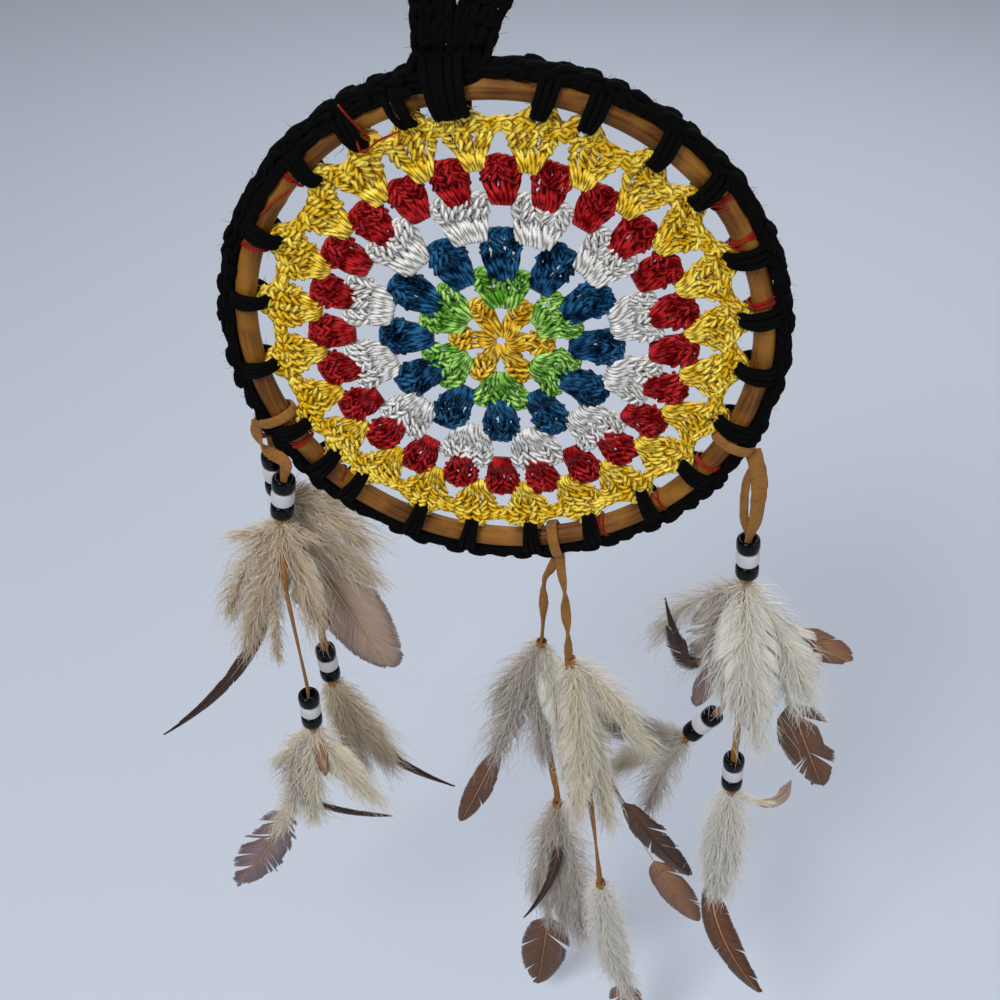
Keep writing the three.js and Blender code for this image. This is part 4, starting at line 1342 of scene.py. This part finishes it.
# Down: loose barbs all round the quill, wide open at its root and closing towards its tip.
def addDown(stock, rng, spine, ahead, values, thinning):
    common = featherValues
    reach, width, end = values["reach"], values["width"], values["end"]
    count = int(common["downPerMm"] * reach * end * values["haze"] * thinning)
    place = rng.uniform(0, 1, count) ** 1.15
    share = place * end
    root, along = spine(share), ahead(share)
    side = unit(np.cross(along, away))
    roll = rng.uniform(0, 2 * np.pi, count)
    depth = unit(np.cross(side, along)) * common["flatness"]
    outward = side * np.cos(roll)[:, None] + depth * np.sin(roll)[:, None]
    # Degrees off the quill, from its root to its tip.
    opened = np.interp(place, [0, 0.05, 0.18, 0.6, 1], [108, 86, 66, 46, 24]) + rng.normal(0, 13, count)
    opened = np.radians(opened)
    wisp = rng.uniform(0, 1, count) < common["wispShare"]
    grow = np.interp(place, [0, 0.12, 0.45, 0.8, 1], [0.6, 1.0, 1.0, 0.8, 0.5])
    long = width / 2 * grow * rng.uniform(0.45, 1.15, count) / np.clip(np.sin(opened), 0.45, 1)
    long = long * np.where(wisp, rng.uniform(1.15, 1.5, count), 1.0)
    way = along * np.cos(opened)[:, None] + outward * np.sin(opened)[:, None]
    step = np.linspace(0, 1, 4)[None, :, None]
    curl = unit(rng.normal(size=(count, 3)) * [1, 0.6, 1])
    droop = along[:, None] * 0.34 - 0.3 * way[:, None]
    lines = root[:, None] + long[:, None, None] * (way[:, None] * step + droop * step**2)
    wave = np.sin(step * rng.uniform(2.0, 5.0, (count, 1, 1)))
    lines = lines + curl[:, None] * (0.15 * long)[:, None, None] * wave
    wide = common["downWide"] * np.interp(step[..., 0], [0, 0.4, 1], [0.8, 1, 0.15])
    wide = wide * (rng.uniform(0.65, 1.3, count) * np.where(wisp, 0.6, 1.0))[:, None]
    marks = (share[:, None] * 0.6, step[..., 0] + 0 * share[:, None])
    sweep(
        stock, values["down"], lines, wide, sides=4, thick=common["downThin"],
        faceWay=unit(rng.normal(size=(count, 1, 3))), marks=marks,
    )


# Half the width of a vane at a share of its length: an oval with a rounded end, or a slim blade.
def vaneOutline(share, values):
    share = np.clip(share, 0, 1)
    if values["slim"]:
        return np.sin(np.pi * share**0.45) ** 0.8
    return np.minimum(np.clip(np.sin(np.pi * share**0.9), 0, 1) ** values["blunt"], 1)


# A vane: barbs side by side on both sides of the quill that end on one outline, in locks that part
# where it is ragged.
def addVane(stock, rng, spine, ahead, values):
    common, ragged = featherValues, values["ragged"]
    width, begin = values["vaneWidth"], values["start"]
    whole = values["reach"] * (1 - begin)
    for side in (-1.0, 1.0):
        count = int(whole / common["vaneSpacing"])
        inner = np.linspace(0, 0.96, count)
        share = begin + (1 - begin) * inner
        lock = np.cumsum(rng.uniform(0, 1, count) < 0.02 + 0.06 * ragged)
        turnOf = rng.normal(0, 0.012 + 0.08 * ragged, lock[-1] + 1)
        longOf = rng.normal(0, 0.012 + 0.09 * ragged, lock[-1] + 1)
        keep = (np.diff(lock, prepend=-1) == 0) | (rng.uniform(0, 1, count) > 0.7 * ragged)
        opened = np.radians(np.interp(inner, [0, 0.5, 0.96], [48, 40, 14]))
        # The length at which a barb meets the outline, by halving.
        low, high = np.zeros(count), np.full(count, 1.2 * width + 4)
        for _ in range(24):
            long = (low + high) / 2
            limit = width / 2 * vaneOutline(inner + long * (np.cos(opened) + 0.14) / whole, values)
            past = long * np.sin(opened) > limit
            low, high = np.where(past, low, long), np.where(past, long, high)
        long = np.maximum(long * (1 + longOf[lock]) * rng.uniform(0.96, 1.02, count), 0.3)
        opened = opened + turnOf[lock]
        root, along = spine(share), ahead(share)
        across = unit(np.cross(along, away)) * side
        way = along * np.cos(opened)[:, None] + across * np.sin(opened)[:, None]
        step = np.linspace(0, 1, 5)[None, :, None]
        cup = away * (width * 0.06 * (1 + turnOf[lock] * 8))[:, None]
        lines = root[:, None] + long[:, None, None] * (way[:, None] * step + along[:, None] * 0.14 * step**2)
        lines = lines + cup[:, None] * step**2 + away * (0.05 * rng.normal(size=(count, 1, 1)))
        lines, way, share = lines[keep], way[keep], share[keep]
        wide = common["vaneBarb"] * np.interp(step[0, :, 0], [0, 0.85, 1], [1, 0.95, 0.35])[None]
        marks = (share[:, None], step[..., 0] + 0 * share[:, None])
        sweep(
            stock, values["vane"], lines, wide, sides=4, thick=common["vaneThin"],
            faceWay=np.cross(way, away)[:, None], marks=marks,
        )


def makeTuft(label, root, heading, body):
    common, feathers = featherValues, tuftValues[label]
    stock, rng = newStock(), np.random.default_rng(sum(map(ord, label)))
    barbs = common["downPerMm"] * sum(f["reach"] * f["end"] * f["haze"] for f in feathers)
    thinning = min(1.0, common["mostBarbs"] / barbs)
    for values in feathers:
        spine, ahead = spineOf(root + away * rng.normal(0, 0.6), values)
        addDown(stock, rng, spine, ahead, values, thinning)
        if values["vane"]:
            addVane(stock, rng, spine, ahead, values)
        share = np.linspace(0, 0.97 if values["vane"] else 0.8, 40)
        thick = np.interp(share, [0, 1], [common["quillRoot"], common["quillTip"]])
        quill = "darkQuill" if values["vane"] in ("darkVane", "umberVane") else "quill"
        shaft = spine(share) - away * 0.2
        sweep(stock, quill, [shaft], [thick], marks=(share[None], 0 * share[None]))
    # A whipping of thread binds the roots.
    turn = np.linspace(0, 2 * np.pi * common["whipTurns"], 120)[:, None]
    beside = np.cross(heading, away)
    whip = root + heading * np.linspace(-2.2, 1.6, 120)[:, None]
    whip = whip + common["whipRadius"] * (np.cos(turn) * beside + np.sin(turn) * away)
    sweep(stock, "suede", [whip], common["whipThread"])
    for points in stock["points"]:
        past = np.clip(np.abs(points[:, 1]) - common["fullDepth"], 0, None)
        points[:, 1] -= np.sign(points[:, 1]) * past * (1 - common["pressed"])
    piece = makePiece(f"feathers_{label}", stock)
    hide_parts(f"tuft_{label}")
    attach(piece, body)
    return piece


for (pendantName, strandName), made in strands.items():
    places, label = made["places"], f"{pendantName}_{strandName}"
    strand, rootBelow = pendants[pendantName][strandName], featherValues["rootBelow"]
    if label in tuftValues:
        root = places["below"] + places["heading"] * rootBelow
        if strand.get("shared"):
            root = root * [1, 0, 1]
        root = root + up * strand.get("tuftLift", 0.0)
        makeTuft(label, root, places["heading"], f"{pendantName}_pendant")
    root = places["tailBelow"] + places["tailHeading"] * rootBelow
    makeTuft(f"{label}_tail", root, places["tailHeading"], f"{label}_tail")

for (pendantName, strandName), made in strands.items():
    label = f"{pendantName}_{strandName}"

stageValues = {
    "floor": "#c6ccd8",
    "floorHalf": 6.0,  # these sizes are in metres
    "floorDrop": 0.02,
    "worldColour": "#e6ecf6",
    "worldStrength": 0.345,
    "key": {"at": (-0.6, -1.0, 1.0), "size": 0.6, "power": 19.0},
    "fill": {"at": (1.1, -0.6, 0.2), "size": 1.2, "power": 5.2},
    "back": {"at": (0.2, 1.2, 0.9), "size": 1.4, "power": 12.6},
}


def makeStage(values):
    size = values["floorHalf"]
    height = cadBox[0][2] - values["floorDrop"]
    mesh = bpy.data.meshes.new("floor")
    corners = [(-size, -size, height), (size, -size, height), (size, size, height), (-size, size, height)]
    mesh.from_pydata(corners, [], [(0, 1, 2, 3)])
    floor = bpy.data.objects.new("floor", mesh)
    bpy.context.scene.collection.objects.link(floor)
    # Plain painted board, matt.
    material = newMaterial("mattPaintedBoard", Roughness=0.9, Base_Color=linear(values["floor"]))[0]
    mesh.materials.append(material)
    world = bpy.data.worlds.new("studio")
    bpy.context.scene.world = world
    world.use_nodes = True
    sky = world.node_tree.nodes["Background"]
    sky.inputs["Color"].default_value = linear(values["worldColour"])
    sky.inputs["Strength"].default_value = values["worldStrength"]
    aim = (np.array(cadBox[0]) + np.array(cadBox[1])) / 2
    for name in ("key", "fill", "back"):
        lamp = bpy.data.lights.new(name, "AREA")
        lamp.size, lamp.energy = values[name]["size"], values[name]["power"]
        holder = bpy.data.objects.new(name, lamp)
        holder.location = values[name]["at"]
        backward = Vector(values[name]["at"]) - Vector(aim)
        holder.rotation_euler = backward.to_track_quat("Z", "Y").to_euler()
        bpy.context.scene.collection.objects.link(holder)
    bpy.context.scene.view_settings.view_transform = "Standard"


makeStage(stageValues)
